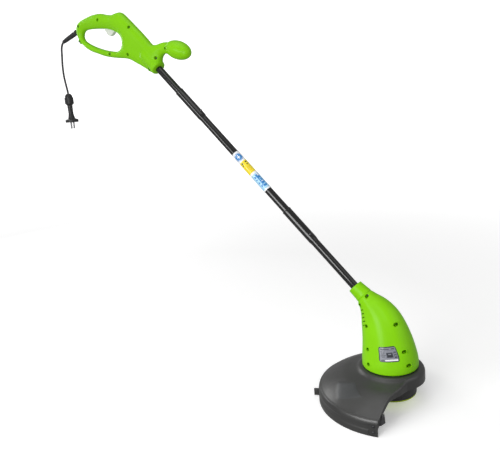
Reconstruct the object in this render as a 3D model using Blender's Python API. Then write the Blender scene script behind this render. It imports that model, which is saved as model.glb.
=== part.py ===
"""Corded string trimmer, held in its working posture.

Metres, +X forward, +Y to the user's left, +Z up. The origin is the middle of the rear D-handle's grip bar.
The handle, the tube and the motor housing share the split plane Y = 0.
Outlines are in millimetres as (x, z) pairs and are turned to metres by the functions that use them.
"""

import math

import bmesh
import bpy
from mathutils import Matrix, Vector

MM = 0.001
GAP = 0.0003                    # clearance that touching pieces keep
SPLIT = GAP / 2                 # each clamshell half stops this far from the split plane
SHARP = math.radians(35)        # edges sharper than this stay sharp when shaded
OVERRUN = 0.003                 # how far a half is modelled past the split plane before it is trimmed

# Driving dimensions
HEAD_X = 0.820                  # cutting head axis, forward of the grip
HEAD_Z = -0.925                 # underside plane of the spool housing, below the grip
SHAFT_TILT = math.radians(45.3)  # tube below the horizontal
TUBE_TOP = (0.2115, -0.150)     # (x, z) where the tube leaves the handle
TUBE_RUN = 0.755                # tube length between handle and motor housing
TUBE_R = 0.0095
TUBE_WALL = 0.0012
SOCKET_R = 0.0108
SOCKET_WALL = 0.0010
SOCKETS = ((0.090, 0.186), (0.516, 0.612))  # each wide socket's start and end along the tube

HANDLE_HALF = 0.017             # half thickness of the handle
HANDLE_ROUND = 0.0062
HANDLE_WALL = 0.0024
KNOB_CENTRE = (0.285, -0.112)
KNOB_SEMI = (0.041, 0.023, 0.023)
KNOB_TILT = math.radians(20)

HOUSING_WALL = 0.0025
GUARD_R = 0.163
GUARD_WALL = 0.0026
GUARD_RIM = -0.017              # lowest edge of the guard, over the head's zero plane
NOSE_EDGE = 0.0365              # lower edge of the guard's nose

SPOOL_HOUSING_R = 0.056
TRIGGER_PIVOT = (0.072, -0.020)

# Handle outline, clockwise from the rear
HANDLE_OUTLINE = [
    (-95, -12), (-91, 4), (-76, 14), (-50, 19), (-20, 22), (12, 21), (38, 14), (60, 10), (78, 11.5),
    (93, 11), (104.5, 3), (122, -13), (142, -32), (162, -51), (181, -71), (196, -86), (214, -89),
    (232, -87), (250, -88), (262, -98), (264, -112), (254, -118), (239, -115), (227, -122), (223, -132),
    (222.4, -138.8), (211.2, -150.2), (199.6, -161.2), (187, -156), (167, -144), (138, -128), (105, -112),
    (61, -104), (19, -95), (-15, -83), (-46, -71), (-73, -53), (-89, -34)]
OPENING_OUTLINE = [
    (-72, -28), (-66, -17), (-50, -13), (-20, -15), (10, -19), (35, -24), (60, -32), (80, -44), (90, -60),
    (87, -76), (76, -85), (60, -86.5), (28, -80), (-5, -70), (-35, -58), (-56, -47), (-68, -38)]
TRIGGER_OUTLINE = [
    (28, -16), (50, -13), (66, -12.5), (76, -14), (79, -20), (76, -26), (66, -32), (56, -40), (47, -43),
    (39, -41), (32, -34), (27, -25)]

HANDLE_SCREWS = [
    (-76, 0), (-80, -42), (14, 3), (42, -91), (130, -34), (116, -102), (253, -104), (215, -123), (187, -148)]
HOUSING_SCREWS = [
    (-43, 224), (-60, 202), (-39, 161), (24, 171), (-33, 112), (44, 115), (-29, 81), (53, 85)]

# Motor housing stations in mm and degrees: centre (x, z), tilt, half depth, half width in Y
HOUSING_STATIONS = [
    (-77.5, 239, 44.7, 16.0, 16.0), (-68, 229.5, 44.7, 16.8, 16.6), (-59.5, 221, 44.0, 17.4, 17.2),
    (-48, 211, 42, 24, 22), (-33, 195, 33, 35, 29), (-21, 176, 22, 44, 36), (-12, 153, 13, 50, 43),
    (-5, 125, 6, 55.5, 50), (-1, 97, 1.5, 60, 56.5), (0, 80, 0, 61.8, 60.5), (0, 66.3, 0, 61.5, 61.5)]

# Guard dome, (radius, height) in mm from the hub outwards
DOME = [(31, 64.5), (62, 64.5), (69, 63), (75, 58), (88, 53.5), (104, 49), (120, 42), (136, 33.5),
        (148, 26), (157, 19), (163, 12)]
# The guard's open edge on its right side: (angle from straight ahead in degrees, radius in mm)
OPEN_EDGE = [
    (0, 75), (36, 75), (46, 79), (56, 90), (64, 101), (70, 115), (74.5, 137), (77, 155), (78.5, 163)]
LEFT_END = 96                   # the left side's open edge is the same, spread out to this angle

# Lead, (x, z) from the strain relief's end to the plug, in mm
CORD_ROUTE = [
    (-163.3, -29.4), (-169.4, -32.2), (-174.6, -36.9), (-178.4, -43.2), (-180.6, -51), (-182.2, -62),
    (-184, -74), (-186, -86), (-187.3, -97.5), (-188, -109), (-188, -121), (-187.2, -133),
    (-185.6, -144.5), (-183.6, -155), (-181.8, -164.5), (-180.5, -172.5), (-180, -178.6)]
CORD_R = 0.003
PLUG_TOP = (-180, -179)

SCREW_R = 0.0015
SCREW_HOLE_R = 0.0019
CLAMSHELL_HEAD_R = 0.0032
COUNTERBORE_R = 0.0037
LEFT_BOSS_R = 0.0038
RIGHT_BOSS_R = 0.0052
SCREW_SEAT = -0.0080            # clamshell screw heads sit this far to the right of the split plane
LABEL_STATIONS = (7, 8)         # housing stations that the rating label spans
LABEL_TURN = math.radians(-90.5)  # its front edge, round the housing
LABEL_SPREAD = math.radians(42)
SHAFT_LABEL_TURN = math.radians(239)   # middle of the shaft label, round the tube
SHAFT_LABEL_SPREAD = math.radians(108)  # to each side of the middle
GUARD_SCREW_RING = 0.0475
GUARD_SCREW_SEAT = 0.0604        # underside height that the guard screws' heads sit on
GUARD_SCREW_TURNS = [math.radians(a) for a in (60, 180, 300)]
BLADE_TURN = math.radians(-81.6)
BLADE_SCREW_HEIGHTS = (-0.0085, 0.0045)
HOOK_TURN = math.radians(-157)
LINE_TURN = math.radians(150)
LINE_HEIGHT = 0.0165

LIME = (0.31, 0.66, 0.012)
DARK = (0.055, 0.055, 0.057)
BLACK = (0.018, 0.018, 0.02)
STEEL = (0.55, 0.55, 0.56)


# ------------------------------------------------------------------ helpers

def clear_scene():
    """Remove every object that the scene holds."""
    for item in list(bpy.data.objects):
        bpy.data.objects.remove(item, do_unlink=True)


def make_material(name, colour, roughness, metallic=0.0):
    """Make one Principled material."""
    material = bpy.data.materials.new(name)
    material.use_nodes = True
    shader = material.node_tree.nodes["Principled BSDF"]
    shader.inputs["Base Color"].default_value = (*colour, 1.0)
    shader.inputs["Roughness"].default_value = roughness
    shader.inputs["Metallic"].default_value = metallic
    return material


def link(name, mesh, parent=None, location=(0, 0, 0), rotation=(0, 0, 0)):
    """Put a mesh in the scene as a named object."""
    item = bpy.data.objects.new(name, mesh)
    bpy.context.scene.collection.objects.link(item)
    item.location = location
    item.rotation_euler = rotation
    item.parent = parent
    return item


def empty(name, location, rotation=(0, 0, 0), parent=None):
    """Make an empty that other pieces are placed from."""
    item = bpy.data.objects.new(name, None)
    bpy.context.scene.collection.objects.link(item)
    item.location = location
    item.rotation_euler = rotation
    item.parent = parent
    return item


def piece(name, bm, material, parent=None, location=(0, 0, 0), rotation=(0, 0, 0)):
    """Turn a bmesh into a finished object."""
    bmesh.ops.recalc_face_normals(bm, faces=bm.faces)
    mesh = bpy.data.meshes.new(name)
    bm.to_mesh(mesh)
    bm.free()
    mesh.shade_smooth()
    mesh.set_sharp_from_angle(angle=SHARP)
    mesh.materials.append(material)
    return link(name, mesh, parent, location, rotation)


def boolean(item, cutter, operation):
    """Cut or join one object by another, which is kept as a hidden guide."""
    cutter.hide_render = True
    cutter.display_type = "WIRE"
    modifier = item.modifiers.new(operation.title(), "BOOLEAN")
    modifier.operation = operation
    modifier.solver = "EXACT"
    modifier.use_self = False
    modifier.object = cutter


def smooth_loop(points, step):
    """Read a closed outline in metres from a smooth curve through the given millimetre points."""
    count = len(points)
    result = []
    for i in range(count):
        p0, p1, p2, p3 = (Vector(points[(i + k) % count]) * MM for k in (-1, 0, 1, 2))
        pieces = max(1, round((p2 - p1).length / step))
        for k in range(pieces):
            t = k / pieces
            result.append(0.5 * (2 * p1 + (p2 - p0) * t + (2 * p0 - 5 * p1 + 4 * p2 - p3) * t * t
                                 + (3 * p1 - p0 - 3 * p2 + p3) * t ** 3))
    return result


def smooth_path(points, step):
    """Read an open path at even steps from a smooth curve through the given points."""
    fine = []
    count = len(points)
    for i in range(count - 1):
        p0, p1, p2, p3 = points[max(i - 1, 0)], points[i], points[i + 1], points[min(i + 2, count - 1)]
        for k in range(20):
            t = k / 20
            fine.append(0.5 * (2 * p1 + (p2 - p0) * t + (2 * p0 - 5 * p1 + 4 * p2 - p3) * t * t
                               + (3 * p1 - p0 - 3 * p2 + p3) * t ** 3))
    fine.append(points[-1])
    runs = [0.0]
    for before, after in zip(fine, fine[1:]):
        runs.append(runs[-1] + (after - before).length)
    stops = max(2, round(runs[-1] / step))
    path = []
    for k in range(stops + 1):
        run = runs[-1] * k / stops
        i = max(j for j, r in enumerate(runs[:-1]) if r <= run + 1e-9)
        share = (run - runs[i]) / (runs[i + 1] - runs[i])
        path.append(fine[i].lerp(fine[i + 1], min(share, 1.0)))
    return path


def signed_area(loop):
    """Give the signed area of a closed outline."""
    return 0.5 * sum(a.x * b.y - b.x * a.y for a, b in zip(loop, loop[1:] + loop[:1]))


def inset(loop, distance):
    """Move each point of an outline towards the material on its left or right by a distance."""
    turn = 1.0 if signed_area(loop) > 0 else -1.0
    result = []
    for i, point in enumerate(loop):
        before = (point - loop[i - 1]).normalized()
        after = (loop[(i + 1) % len(loop)] - point).normalized()
        across = (before + after).normalized()
        normal = Vector((-across.y, across.x)) * turn
        result.append(point + normal * distance)
    return result


def ring(bm, loop, y):
    """Add one closed ring of points at a given Y."""
    return [bm.verts.new((p.x, y, p.y)) for p in loop]


def join_rings(bm, first, second):
    """Bridge two rings that have the same number of points."""
    for i in range(len(first)):
        j = (i + 1) % len(first)
        bm.faces.new((first[i], first[j], second[j], second[i]))


def fill_rings(bm, rings):
    """Fill the flat area between an outer ring and the rings inside it."""
    edges = []
    for verts in rings:
        for i in range(len(verts)):
            edges.append(bm.edges.get((verts[i], verts[(i + 1) % len(verts)])))
    bmesh.ops.triangle_fill(bm, use_beauty=True, edges=edges)


def grid_shell(outer, inner, closed):
    """Make a thick shell from two grids of points; closed joins the last column to the first."""
    bm = bmesh.new()
    grids = [[[bm.verts.new(p) for p in column] for column in grid] for grid in (outer, inner)]
    columns = len(outer)
    rows = len(outer[0])
    last = columns if closed else columns - 1
    for grid in grids:
        for i in range(last):
            here, there = grid[i], grid[(i + 1) % columns]
            for j in range(rows - 1):
                bm.faces.new((here[j], there[j], there[j + 1], here[j + 1]))
    for i in range(last):
        k = (i + 1) % columns
        for j in (0, rows - 1):
            bm.faces.new((grids[0][i][j], grids[0][k][j], grids[1][k][j], grids[1][i][j]))
    if not closed:
        for i in (0, columns - 1):
            for j in range(rows - 1):
                bm.faces.new((grids[0][i][j], grids[0][i][j + 1], grids[1][i][j + 1], grids[1][i][j]))
    bmesh.ops.triangulate(bm, faces=bm.faces)
    return bm


def lathe(profile, segments=24, bm=None, matrix=None):
    """Spin a closed (radius, height) profile in metres about Z. Points at radius 0 become poles."""
    bm = bm or bmesh.new()
    matrix = matrix or Matrix.Identity(4)
    columns = []
    poles = {j: bm.verts.new(matrix @ Vector((0, 0, z))) for j, (r, z) in enumerate(profile) if r == 0}
    for i in range(segments):
        turn = 2 * math.pi * i / segments
        c, s = math.cos(turn), math.sin(turn)
        columns.append([poles.get(j) or bm.verts.new(matrix @ Vector((r * c, r * s, z)))
                        for j, (r, z) in enumerate(profile)])
    count = len(profile)
    for i in range(segments):
        here, there = columns[i], columns[(i + 1) % segments]
        for j in range(count):
            k = (j + 1) % count
            corners = []
            for vert in (here[j], here[k], there[k], there[j]):
                if vert not in corners:
                    corners.append(vert)
            if len(corners) > 2:
                bm.faces.new(corners)
    return bm


def extrude_outline(points, y_from, y_to):
    """Make a flat plate from an outline in metres, lying in the X-Z plane."""
    bm = bmesh.new()
    near = [bm.verts.new((p[0], y_from, p[1])) for p in points]
    far = [bm.verts.new((p[0], y_to, p[1])) for p in points]
    bm.faces.new(near)
    bm.faces.new(list(reversed(far)))
    join_rings(bm, near, far)
    return bm


def box(bm, centre, size, rotation=None):
    """Add a box."""
    matrix = Matrix.Translation(centre)
    if rotation is not None:
        matrix = matrix @ rotation
    matrix = matrix @ Matrix.Diagonal((*size, 1))
    bmesh.ops.create_cube(bm, size=1, matrix=matrix)


def rod(bm, start, end, radius, segments=12):
    """Add a cylinder between two points."""
    start, end = Vector(start), Vector(end)
    along = end - start
    turn = along.to_track_quat("Z", "Y").to_matrix().to_4x4()
    matrix = Matrix.Translation((start + end) / 2) @ turn
    bmesh.ops.create_cone(bm, cap_ends=True, segments=segments, radius1=radius, radius2=radius,
                          depth=along.length, matrix=matrix)


def along_tube(run, side=0.0, lift=0.0):
    """Point on the tube's axis, run metres from the handle; side is +Y and lift is up and forward."""
    down = Vector((math.cos(SHAFT_TILT), 0, -math.sin(SHAFT_TILT)))
    up = Vector((math.sin(SHAFT_TILT), 0, math.cos(SHAFT_TILT)))
    return Vector((TUBE_TOP[0], 0, TUBE_TOP[1])) + down * run + Vector((0, side, 0)) + up * lift


# ------------------------------------------------------------------ screws

def screw_mesh(name, head_r, head_h, shank_r, length):
    """Pan-head screw along Z, its head's underside at 0 and its shank below."""
    bm = lathe([(0, head_h), (head_r * 0.72, head_h * 0.9), (head_r, head_h * 0.35), (head_r, 0),
                (shank_r, 0), (shank_r, -length), (0, -length)], 8)
    bmesh.ops.recalc_face_normals(bm, faces=bm.faces)
    mesh = bpy.data.meshes.new(name)
    bm.to_mesh(mesh)
    bm.free()
    mesh.shade_smooth()
    mesh.set_sharp_from_angle(angle=SHARP)
    mesh.materials.append(make_material(name, STEEL, 0.35, 1.0))
    return mesh


def clamshell_screws(name, places, parent):
    """Put one screw in each place, its axis along Y and its head towards -Y."""
    mesh = screw_mesh(name, CLAMSHELL_HEAD_R, 0.0022, SCREW_R, 0.0145)
    for number, (x, z) in enumerate(places, 1):
        place = (x * MM, SCREW_SEAT - GAP, z * MM)
        link(f"{name}_{number}", mesh, parent, place, (math.pi / 2, 0, 0))


def clamshell_fixings(half, name, places, walls, parent):
    """Give one clamshell half a boss for each screw, then cut its counterbore, hole or blind hole."""
    bosses = bmesh.new()
    holes = bmesh.new()
    for (x, z), wall in zip(places, walls):
        x, z = x * MM, z * MM
        if half > 0:
            rod(bosses, (x, -OVERRUN, z), (x, wall, z), LEFT_BOSS_R, 8)
            rod(holes, (x, -2 * OVERRUN, z), (x, 0.0085, z), SCREW_HOLE_R, 8)
        else:
            rod(bosses, (x, -wall, z), (x, OVERRUN, z), RIGHT_BOSS_R, 8)
            steps = [(0, -2 * OVERRUN), (SCREW_HOLE_R, -2 * OVERRUN), (SCREW_HOLE_R, -SCREW_SEAT),
                     (COUNTERBORE_R, -SCREW_SEAT), (COUNTERBORE_R, wall + 0.03), (0, wall + 0.03)]
            lathe(steps, 8, holes, Matrix.Translation((x, 0, z)) @ Matrix.Rotation(math.pi / 2, 4, "X"))
    boss_item = piece(f"{name}_bosses", bosses, GUIDE, parent)
    hole_item = piece(f"{name}_holes", holes, GUIDE, parent)
    return boss_item, hole_item


def trim_half(item, half):
    """Cut a clamshell half flat, just short of the split plane."""
    block = bmesh.new()
    box(block, (0, half * (SPLIT - 0.05), 0), (3, 0.1, 3))
    boolean(item, piece(f"{item.name}_trim", block, GUIDE), "DIFFERENCE")


# ------------------------------------------------------------------ handle

def thickness_share(x):
    """Share of the full half thickness that the handle has at x; its rear and its arm are slimmer."""
    if x < 0:
        return 1 - 0.30 * min(1.0, -x / 0.085)
    return 1 - 0.20 * min(1.0, max(0.0, (x - 0.215) / 0.03))


def handle_half(half, name, fixings):
    """Make one hollow half of the D-handle; half is -1 for the right side and 1 for the left."""
    outline = smooth_loop(HANDLE_OUTLINE, 0.019)
    opening = smooth_loop(OPENING_OUTLINE, 0.021)
    depth = HANDLE_HALF
    bm = bmesh.new()

    def rings_at(distance, y):
        outer_ring = ring(bm, inset(outline, distance), y)
        opening_ring = ring(bm, inset(opening, -distance), y)
        for vert in outer_ring + opening_ring:
            vert.co.y *= thickness_share(vert.co.x)
        return outer_ring, opening_ring

    def wall(levels):
        stack = [rings_at(distance, half * y) for distance, y in levels]
        for lower, upper in zip(stack, stack[1:]):
            join_rings(bm, lower[0], upper[0])
            join_rings(bm, lower[1], upper[1])
        fill_rings(bm, stack[-1])
        return stack[0]

    r = HANDLE_ROUND
    t = HANDLE_WALL
    outside = wall([(0, -OVERRUN), (0, depth - r), (r * 0.27, depth - r * 0.32), (r, depth)])
    inside = wall([(t, -OVERRUN), (t, depth - r), (r, depth - t)])
    join_rings(bm, outside[0], inside[0])
    join_rings(bm, outside[1], inside[1])
    bmesh.ops.triangulate(bm, faces=bm.faces)
    item = piece(name, bm, make_material(name, LIME, 0.33))

    knob = bmesh.new()
    matrix = (Matrix.Translation((KNOB_CENTRE[0], 0, KNOB_CENTRE[1])) @ Matrix.Rotation(KNOB_TILT, 4, "Y")
              @ Matrix.Diagonal((*KNOB_SEMI, 1)) @ Matrix.Rotation(math.pi / 2, 4, "Y"))
    bmesh.ops.create_uvsphere(knob, u_segments=12, v_segments=8, radius=1, matrix=matrix)
    boolean(item, piece(f"{name}_knob", knob, GUIDE), "UNION")

    ribs = bmesh.new()
    for run in (-0.020, -0.062):
        long = depth - t * 0.6 + OVERRUN
        centre = along_tube(run) + Vector((0, half * (long / 2 - OVERRUN), 0))
        box(ribs, centre, (0.003, long, 0.0300), Matrix.Rotation(SHAFT_TILT, 4, "Y"))
    boolean(item, piece(f"{name}_ribs", ribs, GUIDE), "UNION")
    boolean(item, fixings[0], "UNION")
    trim_half(item, half)

    cuts = bmesh.new()
    rod(cuts, along_tube(-0.078), along_tube(0.02), TUBE_R + GAP, 24)
    rod(cuts, (-0.0823, 0, -0.0075), (-0.1045, 0, -0.0135), 0.0052 + 2 * GAP, 14)
    box(cuts, (0.0475, 0, -0.031), (0.057, 0.0136, 0.032), Matrix.Rotation(math.radians(14), 4, "Y"))
    boolean(item, piece(f"{name}_cuts", cuts, GUIDE), "DIFFERENCE")
    boolean(item, fixings[1], "DIFFERENCE")
    return item


def build_handle():
    """Make the two handle halves, their screws and what is inside them."""
    walls = [HANDLE_HALF * thickness_share(x * MM) - HANDLE_WALL * 0.6 for x, z in HANDLE_SCREWS]
    for half, name in ((-1, "handle_half_right"), (1, "handle_half_left")):
        handle_half(half, name, clamshell_fixings(half, name, HANDLE_SCREWS, walls, None))
    clamshell_screws("handle_screw", HANDLE_SCREWS, None)

    pivot = empty("trigger_pivot", (TRIGGER_PIVOT[0], 0, TRIGGER_PIVOT[1]))
    loop = smooth_loop([(x - TRIGGER_PIVOT[0] / MM, z - TRIGGER_PIVOT[1] / MM)
                        for x, z in TRIGGER_OUTLINE], 0.007)
    grey = make_material("trigger", (0.62, 0.63, 0.64), 0.45)
    trigger = piece("trigger", extrude_outline(loop, -0.0060, 0.0060), grey, pivot)
    bore = bmesh.new()
    rod(bore, (0, -0.02, 0), (0, 0.02, 0), 0.0028, 12)
    boolean(trigger, piece("trigger_bore", bore, GUIDE, pivot), "DIFFERENCE")
    pin = bmesh.new()
    rod(pin, (0, -0.0140, 0), (0, 0.0140, 0), 0.0024, 12)
    piece("trigger_pin", pin, make_material("trigger_pin", STEEL, 0.3, 1.0), pivot)
    spring = lathe([(0.0030, -0.0022), (0.0042, -0.0022), (0.0042, 0.0022), (0.0030, 0.0022)], 12)
    piece("trigger_spring", spring, make_material("trigger_spring", STEEL, 0.35, 1.0), pivot,
          (0, 0.0092, 0), (math.pi / 2, 0, 0))

    switch = bmesh.new()
    box(switch, (0.043, 0, -0.0010), (0.032, 0.016, 0.0125))
    bmesh.ops.bevel(switch, geom=switch.edges[:], offset=0.0012, segments=1, affect="EDGES")
    piece("power_switch", switch, make_material("power_switch", BLACK, 0.5))


# ------------------------------------------------------------------ lead and plug

def build_lead():
    """Make the strain relief, the hanging lead and its plug."""
    relief_start = Vector((-0.0860, 0, -0.0085))
    relief_end = Vector((-0.1622, 0, -0.0291))
    turn = (relief_end - relief_start).to_track_quat("Z", "Y").to_euler()
    long = (relief_end - relief_start).length
    profile = [(0, 0), (0.0052, 0), (0.0052, 0.0130), (0.0076, 0.0130), (0.0076, 0.0190), (0.0062, 0.0205)]
    for ridge in range(4):
        start = 0.0280 + ridge * 0.0120
        radius = 0.0061 - ridge * 0.00025
        profile += [(radius, start), (radius - 0.0010, start + 0.0020), (radius - 0.0010, start + 0.0050),
                    (radius, start + 0.0070)]
    profile += [(0.0046, long), (0, long)]
    relief = lathe(profile, 10)
    piece("strain_relief", relief, make_material("strain_relief", BLACK, 0.55), None, relief_start, turn)

    curve = bpy.data.curves.new("mains_lead", "CURVE")
    curve.dimensions = "3D"
    curve.bevel_depth = CORD_R
    curve.bevel_resolution = 2
    curve.use_fill_caps = True
    spline = curve.splines.new("POLY")
    points = smooth_path([Vector((x, 0, z)) * MM for x, z in CORD_ROUTE], 4 * CORD_R)
    spline.points.add(len(points) - 1)
    for target, point in zip(spline.points, points):
        target.co = (*point, 1)
    lead = bpy.data.objects.new("mains_lead", curve)
    bpy.context.scene.collection.objects.link(lead)
    curve.materials.append(make_material("mains_lead", BLACK, 0.5))

    plug = empty("plug_frame", (PLUG_TOP[0] * MM, 0, PLUG_TOP[1] * MM), (math.pi, 0, 0))
    sections = [(0.0045, 0.0042, 0.0003), (0.0085, 0.0076, 0.003), (0.0115, 0.0098, 0.008),
                (0.0124, 0.0106, 0.014), (0.0124, 0.0106, 0.031), (0.0074, 0.0072, 0.034),
                (0.0070, 0.0068, 0.037), (0.0070, 0.0068, 0.060), (0.0088, 0.0082, 0.068),
                (0.0100, 0.0092, 0.0765), (0.0188, 0.0172, 0.0780), (0.0195, 0.0179, 0.0795),
                (0.0195, 0.0179, 0.0850), (0.0188, 0.0172, 0.0865)]
    bm = bmesh.new()
    sides = 16
    rows = []
    for width, depth, height in sections:
        row = []
        for i in range(sides):
            turn_angle = 2 * math.pi * (i + 0.5) / sides
            c, s = math.cos(turn_angle), math.sin(turn_angle)
            squareness = 0.75
            row.append(bm.verts.new((width * math.copysign(abs(c) ** squareness, c),
                                     depth * math.copysign(abs(s) ** squareness, s), height)))
        rows.append(row)
    for lower, upper in zip(rows, rows[1:]):
        join_rings(bm, lower, upper)
    bm.faces.new(rows[0])
    bm.faces.new(list(reversed(rows[-1])))
    body = piece("plug_body", bm, make_material("plug_body", BLACK, 0.5), plug)
    slots = bmesh.new()
    for side in (-1, 1):
        box(slots, (side * 0.0064, 0, 0.0860), (0.0016 + 2 * GAP, 0.0064 + 2 * GAP, 0.012))
    boolean(body, piece("plug_slots", slots, GUIDE, plug), "DIFFERENCE")
    for number, side in enumerate((-1, 1), 1):
        blade = bmesh.new()
        box(blade, (side * 0.0064, 0, 0.0930), (0.0016, 0.0064, 0.0250))
        piece(f"plug_blade_{number}", blade, make_material(f"plug_blade_{number}", STEEL, 0.25, 1.0), plug)


# ------------------------------------------------------------------ tube

def tube_profile(start, end, socket=None):
    """Give a tube's closed (radius, run) profile, with a wide socket at its upper end if it has one."""
    inner = TUBE_R - TUBE_WALL
    if socket is None:
        return [(inner, start), (TUBE_R, start), (TUBE_R, end), (inner, end)]
    wide_inner = SOCKET_R - SOCKET_WALL
    neck = 0.006
    return [(wide_inner, socket[0]), (SOCKET_R, socket[0]), (SOCKET_R, socket[1]),
            (TUBE_R, socket[1] + neck), (TUBE_R, end), (inner, end), (inner, socket[1] + neck),
            (wide_inner, socket[1])]


def build_tube():
    """Make the three tube sections, their spring buttons, the inner cable and the label."""
    down = empty("tube_frame", (TUBE_TOP[0], 0, TUBE_TOP[1]), (0, math.pi / 2 + SHAFT_TILT, 0))
    black = make_material("tube_black", (0.02, 0.02, 0.022), 0.28)
    overlap = 0.004
    runs = ((-0.076, SOCKETS[0][1] - overlap, None), (0, SOCKETS[1][1] - overlap, SOCKETS[0]),
            (0, TUBE_RUN + 0.026, SOCKETS[1]))
    tubes = []
    for name, (start, end, socket) in zip(("upper_tube", "middle_tube", "lower_tube"), runs):
        tubes.append(piece(name, lathe(tube_profile(start, end, socket), 20), black, down))
    for number, (socket, inner_tube, turn) in enumerate(
            zip(SOCKETS, (tubes[0], tubes[1]), (math.radians(90), math.radians(52))), 1):
        outer_tube = tubes[number]
        run = socket[1] - 0.013
        seat = empty(f"shaft_button_seat_{number}", (0, 0, run), (0, 0, -turn - math.pi / 2), down)
        hole = bmesh.new()
        rod(hole, (0.002, 0, 0), (0.02, 0, 0), 0.0035 + GAP, 16)
        hole_item = piece(f"shaft_button_hole_{number}", hole, GUIDE, seat)
        boolean(inner_tube, hole_item, "DIFFERENCE")
        boolean(outer_tube, hole_item, "DIFFERENCE")
        button = lathe([(0, 0.0126), (0.0022, 0.0123), (0.0035, 0.0110), (0.0035, 0.0062), (0, 0.0062)], 14)
        steel = make_material(f"shaft_button_{number}", (0.6, 0.6, 0.61), 0.3, 1.0)
        piece(f"shaft_button_{number}", button, steel, seat, (0, 0, 0), (0, math.pi / 2, 0))
        leaf = bmesh.new()
        box(leaf, (0.0055, 0, -0.011), (0.0005, 0.0050, 0.0300))
        leaf_name = f"button_spring_{number}"
        piece(leaf_name, leaf, make_material(leaf_name, STEEL, 0.35, 1.0), seat)
    cable = bmesh.new()
    rod(cable, (0.0036, -0.0022, -0.0700), (0.0036, -0.0022, TUBE_RUN + 0.055), 0.0025, 10)
    piece("inner_cable", cable, make_material("inner_cable", BLACK, 0.6), down)

    label_start, label_end = 0.322, 0.448
    outer, inner = [], []
    for i in range(13):
        turn = SHAFT_LABEL_TURN + SHAFT_LABEL_SPREAD * (i / 6 - 1)
        c, s = math.cos(turn), math.sin(turn)
        rows = [label_start, label_end]
        outer.append([(c * (TUBE_R + 0.0006), s * (TUBE_R + 0.0006), run) for run in rows])
        inner.append([(c * (TUBE_R + GAP), s * (TUBE_R + GAP), run) for run in rows])
    label = grid_shell(outer, inner, False)
    piece("shaft_label", label, make_material("shaft_label", (0.8, 0.82, 0.84), 0.4), down)


# ------------------------------------------------------------------ motor housing

def housing_point(station, turn, offset):
    """Point of the housing's surface at a station; turn runs from the front, over +Y, to the rear."""
    x, z, tilt, depth, width = station
    tilt = math.radians(tilt)
    along = (depth * MM - offset) * math.cos(turn)
    across = (width * MM - offset) * math.sin(turn)
    return Vector((x * MM + along * math.cos(tilt), across, z * MM + along * math.sin(tilt)))


def collar_axis(run):
    """Point on the tube's axis in the head's own frame, run metres past the collar's mouth."""
    return along_tube(TUBE_RUN + run) - Vector((HEAD_X, 0, HEAD_Z))


def housing_half(half, name, head, fixings):
    """Make one hollow half of the motor housing."""
    steps = 12
    columns_out, columns_in = [], []
    for i in range(steps + 1):
        turn = half * math.pi * i / steps
        outside = [housing_point(s, turn, 0) for s in HOUSING_STATIONS]
        inside = [housing_point(s, turn, HOUSING_WALL) for s in HOUSING_STATIONS]
        for column in (outside, inside):
            for point in column:
                if i in (0, steps):
                    point.y = -half * OVERRUN
        columns_out.append(outside)
        columns_in.append(inside)
    shell = grid_shell(columns_out, columns_in, False)
    item = piece(name, shell, make_material(name, LIME, 0.33), head)
    boolean(item, fixings[0], "UNION")
    ribs = bmesh.new()
    for run in (0.0020, 0.0200):
        rod(ribs, collar_axis(run), collar_axis(run + 0.003), 0.0145, 14)
    boolean(item, piece(f"{name}_ribs", ribs, GUIDE, head), "UNION")
    trim_half(item, half)
    bore = bmesh.new()
    rod(bore, collar_axis(-0.01), collar_axis(0.030), TUBE_R + GAP, 20)
    boolean(item, piece(f"{name}_bore", bore, GUIDE, head), "DIFFERENCE")
    cuts = bmesh.new()
    for slot in range(6):
        centre = Vector((-0.062 + slot * 0.0030, half * 0.0160, 0.1955 - slot * 0.0056))
        box(cuts, centre, (0.026, 0.012, 0.0024), Matrix.Rotation(math.radians(25), 4, "Y"))
    boolean(item, piece(f"{name}_vents", cuts, GUIDE, head), "DIFFERENCE")
    boolean(item, fixings[1], "DIFFERENCE")
    return item


def housing_depth(x, z):
    """Give how far the housing's outer wall lies from the split plane at (x, z) in metres."""
    best = None
    for upper, lower in zip(HOUSING_STATIONS, HOUSING_STATIONS[1:]):
        for step in range(41):
            station = [a + (b - a) * step / 40 for a, b in zip(upper, lower)]
            tilt = math.radians(station[2])
            dx, dz = x - station[0] * MM, z - station[1] * MM
            along = dx * math.cos(tilt) + dz * math.sin(tilt)
            off = abs(dz * math.cos(tilt) - dx * math.sin(tilt))
            if best is None or off < best[0]:
                share = min(1.0, abs(along) / (station[3] * MM))
                best = (off, station[4] * MM * math.sqrt(1 - share * share))
    return best[1]


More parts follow.
